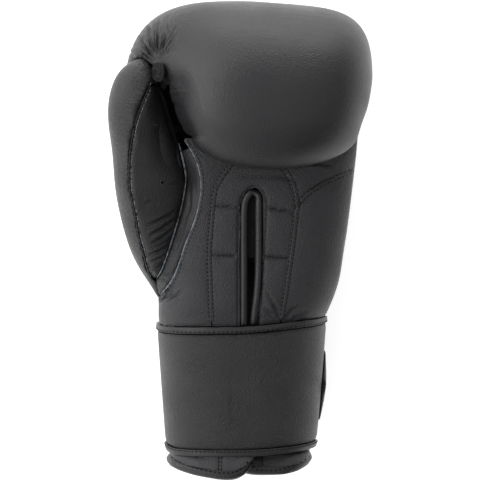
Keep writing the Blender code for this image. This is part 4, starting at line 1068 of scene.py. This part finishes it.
class ThreadWork:
    """Gathers stitches laid on surfaces, and makes one piece of them."""

    def __init__(self, tree, length=None, width=None, sink=0.18):
        self.width = width or sizes().thread_width
        self.length = length or 0.74 * sizes().stitch_pitch
        self.tree = tree
        self.sink = sink
        self.stitch, self.faces = single_stitch(self.length, self.width)
        self.points, self.all_faces = [], []

    def lay(self, place, normal, way):
        way = Vector(way)
        normal = Vector(normal).normalized()
        way = (way - normal * way.dot(normal)).normalized()
        side = normal.cross(way)
        basis = np.array([way, side, normal])
        centre = np.array(place) - np.array(normal) * self.sink * self.width
        shift = len(self.points) * len(self.stitch)
        self.points.append(self.stitch @ basis + centre)
        self.all_faces.extend(tuple(k + shift for k in f) for f in self.faces)

    def row_down(self, path, pitch=None):
        """A row along a plan path, dropped on what lies under it."""
        for place, way in spaced(smooth_path(path), pitch or sizes().stitch_pitch):
            hit = self.tree.ray_cast(Vector((*place, 0.3)), Vector((0, 0, -1)))
            if hit[0] is not None:
                self.lay(hit[0], hit[1], (*way, 0.0))

    def row_around(self, path, centre, pitch=None):
        """A row along a path round the wrist, pulled in to what lies inside it."""
        for place, way in spaced(path, pitch or sizes().stitch_pitch):
            target = Vector((centre[0], place[1], centre[1]))
            hit = self.tree.ray_cast(Vector(place), (target - Vector(place)).normalized())
            if hit[0] is not None:
                self.lay(hit[0], hit[1], way)

    def piece(self, name, finish="thread"):
        made = new_piece(name, np.concatenate(self.points), self.all_faces)
        finish_piece(made, material(finish))


SEAM_OFFSET = 1.25 * MM               # from a seam to each of its two rows
SLIT_STITCH_LEFT = on_plan((240.6, 322), (240.6, 290), (240.4, 250), (240.8, 222), (241.6, 205))
SLIT_STITCH_RIGHT = on_plan((257.5, 318), (260.7, 290), (263.9, 262), (265.2, 235), (266.2, 215),
                            (266.4, 205))
SLIT_STITCH_TOP = on_plan((241.8, 203), (243.4, 196), (248, 188.8), (255, 184.8), (261.5, 187.8),
                          (265.5, 195), (266.4, 203))


def make_palm_stitches():
    work = ThreadWork(surface_tree([
        *PALM_SURFACES, *(name for name, path, width in SEAM_BANDS), "slit_roll", "fist_cover",
        "strap_hem_top"]))
    for path in (LEFT_SEAM, RIGHT_SEAM, BRANCH_SEAM):
        for sign in (-1, 1):
            work.row_down(offset_path(smooth_path(path), sign * SEAM_OFFSET))
    for path in CROSS_STITCHES:
        work.row_down(path)
    work.row_down(SLIT_STITCH_LEFT)
    work.row_down(SLIT_STITCH_RIGHT)
    work.row_down(SLIT_STITCH_TOP, 1.9 * MM)
    work.piece("palm_stitches")


def make_thumb_stitches():
    names = ("thumb_cover", "thumb_lining", "thumb_seam_welt", "thumb_web_strip", "fist_cover",
             *PALM_SURFACES)
    work = ThreadWork(surface_tree(names), 1.9 * MM, 0.75 * MM, 0.1)
    work.row_down(THUMB_SEAM, 2.9 * MM)
    work.row_down(offset_path(WEB_OUTER_EDGE, 1.3 * MM))
    work.row_down(offset_path(WEB_PALM_EDGE, 1.5 * MM))
    work.piece("thumb_stitches")


def make_tie_threads():
    """The threads that cross over the tie between the thumb and the fist, painted pale as glints on
    the dark threads.
    """
    tree = surface_tree(["thumb_tie", "thumb_cover", "fist_cover"])
    work = ThreadWork(tree, 4.2 * MM, 0.36 * MM, 0.3)
    for across, step, turn in ((-1.2, -3.6, 52), (0.6, -2.4, 128), (-0.4, -1.2, 64), (1.3, 0.6, 38),
                               (-0.9, 2.0, 141), (0.5, 3.4, 74), (1.6, -3.9, 20)):
        place = TIE_POINT + np.array([across, -3.2 + step]) * MM
        way = (math.cos(math.radians(turn)), math.sin(math.radians(turn)))
        rest = rest_place(tree, place, way, 0.4 * MM)
        if rest is not None:
            work.lay(rest[0], rest[1], (*way, 0.0))
    work.piece("tie_threads", "thread_with_painted_glints")


# Undyed cut edges


ROUND_PROFILE = ((-0.5, -0.6), (-0.45, 0.5), (-0.2, 0.9), (0.0, 1.0), (0.2, 0.9), (0.45, 0.5),
                 (0.5, -0.6))
BAND_PROFILE = ((-0.5, -0.8), (-0.46, 0.25), (-0.36, 0.75), (-0.22, 0.45), (-0.1, 0.9), (0.0, 1.0),
                (0.1, 0.9), (0.22, 0.45), (0.36, 0.75), (0.46, 0.25), (0.5, -0.8))


def rest_place(tree, place, way, probe):
    """Where a strip lies that rests on the surfaces at both sides of a place."""
    across = Vector((-way[1], way[0], 0.0))
    hits = [tree.ray_cast(Vector((*place, 0.3)) + across * shift, Vector((0, 0, -1)))
            for shift in (-probe, probe)]
    hits = [hit for hit in hits if hit[0] is not None]
    if not hits:
        return None
    if len(hits) == 2 and abs(hits[0][0].z - hits[1][0].z) > 2.5 * probe:
        hits = [max(hits, key=lambda hit: hit[0].z)]
    height = sum(hit[0].z for hit in hits) / len(hits)
    normal = sum((hit[1] for hit in hits), Vector()).normalized()
    return Vector((*place, height)), normal


def lay_strip(name, path, width, height, tree, mat, profile=ROUND_PROFILE, probe=1.0 * MM,
              pitch=0.9 * MM):
    """A thin strip along a plan path, lying on what is under it, with narrow ends."""
    rows = []
    for place, way in spaced(smooth_path(path), pitch):
        rest = rest_place(tree, place, way, probe)
        if rest is not None:
            rows.append((*rest, Vector((*way, 0.0))))
    centres = np.array([row[0] for row in rows])
    for _ in range(3):
        centres[1:-1] = (centres[:-2] + 2 * centres[1:-1] + centres[2:]) / 4
    points, faces = [], []
    sides = len(profile)
    for k, (centre, (_, normal, way)) in enumerate(zip(centres, rows)):
        side = normal.cross(way).normalized()
        end = min(1.0, 0.35 + 0.3 * min(k, len(rows) - 1 - k))
        for across, up in profile:
            points.append(Vector(centre) + side * across * width * end + normal * up * height * end)
    for i in range(len(rows) - 1):
        for k in range(sides):
            m = (k + 1) % sides
            faces.append((i * sides + k, i * sides + m, (i + 1) * sides + m, (i + 1) * sides + k))
    faces.append(tuple(range(sides)))
    faces.append(tuple(range((len(rows) - 1) * sides, len(rows) * sides))[::-1])
    made = new_piece(name, points, faces)
    alone(made)
    bpy.ops.object.mode_set(mode="EDIT")
    bpy.ops.mesh.select_all(action="SELECT")
    bpy.ops.mesh.normals_make_consistent(inside=False)
    bpy.ops.object.mode_set(mode="OBJECT")
    finish_piece(made, mat)


PALM_SURFACES = ("palm_leather_thumb_side", "palm_leather_centre", "palm_leather_heel",
                 "palm_leather_finger_side")
SEAM_BANDS = (("seam_band_left", LEFT_SEAM, 3.5 * MM), ("seam_band_right", RIGHT_SEAM, 3.5 * MM),
              ("seam_band_branch", BRANCH_SEAM, 3.3 * MM))


def make_seam_bands():
    """The folded allowances of the palm's seams, which cover where the panels meet."""
    tree = surface_tree(PALM_SURFACES)
    for name, path, width in SEAM_BANDS:
        lay_strip(name, path, width, 0.42 * MM, tree, material("palm"),
                  BAND_PROFILE, 1.3 * MM)
    tree = surface_tree(("thumb_cover", "thumb_lining"))
    lay_strip("thumb_seam_welt", offset_path(THUMB_SEAM, -0.2 * MM), 1.5 * MM, 0.45 * MM, tree,
              material("thumb"), probe=0.8 * MM)


def make_cut_edges():
    tree = surface_tree(("thumb_lining", "thumb_web_strip", *PALM_SURFACES))
    edge = material("cut_edge")
    lay_strip("web_cut_edge_outer", WEB_OUTER_EDGE, 0.85 * MM, 0.55 * MM, tree, edge,
              probe=0.8 * MM)
    lay_strip("web_cut_edge_inner", WEB_PALM_EDGE, 1.0 * MM, 0.6 * MM, tree, edge,
              probe=0.9 * MM)
    tree = surface_tree(("thumb_lining", "thumb_seam_welt"))
    # The thumb's seam edge: a raw cut edge whose pale dots are painted glints
    lay_strip("thumb_cut_edge", offset_path(THUMB_SEAM, 1.0 * MM), 0.38 * MM, 0.28 * MM, tree,
              material("cut_edge_painted_glints"), probe=0.2 * MM)


# Wrist stitches

ROW_STEPS = 90
RING_RADIUS = 90 * MM                 # of the rings from which wrist stitches are pulled in


def ring_path(piece_name, low, share):
    """A path round the wrist at a share of the way across a hem, read from the piece itself."""
    places, normals = points_of(bpy.data.objects[piece_name])
    turns = np.arctan2(places[:, 2] - WRIST_CENTRE[1], places[:, 0] - WRIST_CENTRE[0])
    path = []
    for k in range(ROW_STEPS + 1):
        turn = math.radians(lerp(low[0], low[1], k / ROW_STEPS))
        away = np.abs(np.angle(np.exp(1j * (turns - turn))))
        near = places[away < math.radians(3.0)]
        if len(near) == 0:
            continue
        y = lerp(near[:, 1].min(), near[:, 1].max(), share)
        path.append((WRIST_CENTRE[0] + RING_RADIUS * math.cos(turn), y,
                     WRIST_CENTRE[1] + RING_RADIUS * math.sin(turn)))
    return np.array(path)


def make_wrist_stitches():
    tree = surface_tree(["strap", "strap_hem_top", "strap_hem_bottom", "cuff_wall", "cuff_hem"])
    work = ThreadWork(tree, 2.0 * MM, 1.0 * MM, sink=0.0)
    for name, share in (("strap_hem_top", 0.24), ("strap_hem_bottom", 0.76)):
        work.row_around(ring_path(name, (-22, 325), share), WRIST_CENTRE, 5.4 * MM)
    work.row_around(ring_path("cuff_hem", (185, 355), 0.8), WRIST_CENTRE, 5.4 * MM)
    for path in FLAP_STITCHES:
        work.row_down(path, 2.8 * MM)
    for x in (218.8, 221.6):
        work.row_down(on_plan((x, 456), (x, 470)), 2.0 * MM)
    work.row_down(on_plan((262, 456), (262.4, 466)), 2.0 * MM)
    work.piece("wrist_stitches")
    work = ThreadWork(tree, 3.2 * MM, 0.35 * MM, 0.3)
    for name, share in (("strap_hem_top", -0.3), ("strap_hem_bottom", 1.3)):
        work.row_around(ring_path(name, (-22, 325), share), WRIST_CENTRE, 4.8 * MM)
    work.piece("strap_channel_lines")


# Stage

CAMERA_DISTANCE = 4.0
FOCUS_HEIGHT = 0.065
SENSOR_WIDTH = 36.0
FRAME_WIDTH = 480 * PLAN_SCALE
# Soft lights round the studio: turn and elevation in degrees, sharpness, and level
WALL_LIGHTS = ((0, 90, 4, 0.38), (90, 2, 9, 2.6), (225, 12, 7, 1.5), (0, 48, 7, 0.85),
               (90, 45, 7, 0.40), (180, 45, 7, 1.25), (180, 42, 40, 3.2), (225, 45, 7, 0.75))
FLOOR_GLOW = 0.7
FLOOR_HEIGHT = -0.2 * MM


def make_stage():
    bpy.ops.object.select_all(action="DESELECT")
    bpy.ops.mesh.primitive_plane_add(size=6.0, location=(0, 0, FLOOR_HEIGHT))
    floor = bpy.context.active_object
    floor.name = "studio_floor"
    made = blank_material("Studio floor", {
        "Base Color": (*colours().floor, 1.0), "Roughness": 0.7,
        "Emission Color": (1.0, 1.0, 1.0, 1.0), "Emission Strength": FLOOR_GLOW})[0]
    floor.data.materials.append(made)

    scene = bpy.context.scene
    scene.view_settings.view_transform = "Standard"
    world = bpy.data.worlds.new("Studio")
    world.use_nodes = True
    scene.world = world
    nodes, links = world.node_tree.nodes, world.node_tree.links
    sky = nodes["Background"]
    way = add_node(nodes, "TexCoord").outputs["Generated"]
    level = add_node(nodes, "Value").outputs[0]
    level.default_value = 0.0
    for turn, rise, sharpness, strength in WALL_LIGHTS:
        turn, rise = math.radians(turn), math.radians(rise)
        facing = vector_step(nodes, "DOT_PRODUCT", (
            math.cos(rise) * math.cos(turn), math.cos(rise) * math.sin(turn), math.sin(rise)))
        total = number_step(nodes, "MULTIPLY_ADD", strength)
        links.new(level, total.inputs[2])
        level = chain(links, way, facing, number_step(nodes, "MAXIMUM", 0.0),
                      number_step(nodes, "POWER", sharpness), total)
    links.new(level, sky.inputs["Strength"])
    sky.inputs["Color"].default_value = (0.8, 0.8, 0.81, 1.0)

    for name, place, size, power in (
            ("Knuckle softbox", (0.0, 1.3, 0.35), (1.8, 0.5), 9.0),
            ("Thumb softbox", (-1.2, 0.7, 0.6), (0.9, 0.5), 7.0)):
        bpy.ops.object.light_add(type="AREA", location=place)
        lamp = bpy.context.active_object
        lamp.name = name
        lamp.data.shape = "RECTANGLE"
        lamp.data.size, lamp.data.size_y = size
        lamp.data.energy = power
        way = Vector((0, 0, 0.06)) - Vector(place)
        lamp.rotation_euler = way.to_track_quat("-Z", "Y").to_euler()

    bpy.ops.object.camera_add(location=(*on_plan((240, 240))[0], CAMERA_DISTANCE))
    camera = bpy.context.active_object
    camera.rotation_euler = (0, 0, 0)
    camera.data.sensor_width = SENSOR_WIDTH
    camera.data.lens = SENSOR_WIDTH * (CAMERA_DISTANCE - FOCUS_HEIGHT) / FRAME_WIDTH
    camera.data.clip_end = 20.0
    scene.camera = camera


# Operators, in the order in which they run


class GLOVE_OT_fist_pad(bpy.types.Operator):
    """Dress the padded shell in leather, with the gathered folds of its shoulder"""
    bl_idname = "glove.fist_pad"
    bl_label = "Fist pad"

    def execute(self, context):
        make_fist_pad()
        return {"FINISHED"}


class GLOVE_OT_thumb(bpy.types.Operator):
    """Dress the thumb's pad, its inner leather, its web and the tie at its tip"""
    bl_idname = "glove.thumb"
    bl_label = "Thumb"

    def execute(self, context):
        make_thumb_cover()
        make_thumb_lining()
        make_thumb_web()
        make_lock()
        return {"FINISHED"}


class GLOVE_OT_palm(bpy.types.Operator):
    """Dress the palm's four leather panels"""
    bl_idname = "glove.palm"
    bl_label = "Palm"

    def execute(self, context):
        make_palm()
        return {"FINISHED"}


class GLOVE_OT_slit(bpy.types.Operator):
    """Dress the rolled edge of the wrist slit and the elastic under it"""
    bl_idname = "glove.slit"
    bl_label = "Wrist slit"

    def execute(self, context):
        make_slit()
        return {"FINISHED"}


class GLOVE_OT_wrist(bpy.types.Operator):
    """Dress the strap, its hems and end, and the cuff"""
    bl_idname = "glove.wrist"
    bl_label = "Strap and cuff"

    def execute(self, context):
        make_strap()
        make_cuff()
        return {"FINISHED"}


class GLOVE_OT_seam_bands(bpy.types.Operator):
    """Lay the folded allowances over the seams of the palm and the thumb"""
    bl_idname = "glove.seam_bands"
    bl_label = "Seam bands"

    def execute(self, context):
        make_seam_bands()
        return {"FINISHED"}


class GLOVE_OT_threads(bpy.types.Operator):
    """Sew the stitches of the palm, the thumb and the wrist"""
    bl_idname = "glove.threads"
    bl_label = "Threads"

    def execute(self, context):
        make_palm_stitches()
        make_thumb_stitches()
        make_tie_threads()
        make_wrist_stitches()
        return {"FINISHED"}


class GLOVE_OT_cut_edges(bpy.types.Operator):
    """Add the undyed cut edges along the thumb's web"""
    bl_idname = "glove.cut_edges"
    bl_label = "Cut edges"

    def execute(self, context):
        make_cut_edges()
        return {"FINISHED"}


class GLOVE_OT_stage(bpy.types.Operator):
    """Set up the floor, the lights and the camera over the palm"""
    bl_idname = "glove.stage"
    bl_label = "Stage"

    def execute(self, context):
        make_stage()
        return {"FINISHED"}


OPERATORS = (GLOVE_OT_fist_pad, GLOVE_OT_thumb, GLOVE_OT_palm, GLOVE_OT_slit, GLOVE_OT_wrist,
             GLOVE_OT_seam_bands, GLOVE_OT_threads, GLOVE_OT_cut_edges, GLOVE_OT_stage)


class GLOVE_PT_panel(bpy.types.Panel):
    """Sizes, colours and steps of the glove's finish"""
    bl_label = "Kickboxing glove"
    bl_idname = "GLOVE_PT_panel"
    bl_space_type = "VIEW_3D"
    bl_region_type = "UI"
    bl_category = "Glove"

    def draw(self, context):
        for group in (context.scene.glove_sizes, context.scene.glove_colours):
            box = self.layout.box()
            for name in group.__annotations__:
                box.prop(group, name)
        for step in OPERATORS:
            self.layout.operator(step.bl_idname)


CLASSES = (GloveSizes, GloveColours, *OPERATORS, GLOVE_PT_panel)


def register():
    for item in CLASSES:
        bpy.utils.register_class(item)
    bpy.types.Scene.glove_sizes = bpy.props.PointerProperty(type=GloveSizes)
    bpy.types.Scene.glove_colours = bpy.props.PointerProperty(type=GloveColours)


def unregister():
    del bpy.types.Scene.glove_colours
    del bpy.types.Scene.glove_sizes
    for item in reversed(CLASSES):
        bpy.utils.unregister_class(item)


def main():
    register()
    bpy.ops.glove.fist_pad()
    bpy.ops.glove.thumb()
    bpy.ops.glove.palm()
    bpy.ops.glove.slit()
    bpy.ops.glove.wrist()
    bpy.ops.glove.seam_bands()
    bpy.ops.glove.threads()
    bpy.ops.glove.cut_edges()
    bpy.ops.glove.stage()


if __name__ == "__main__":
    main()
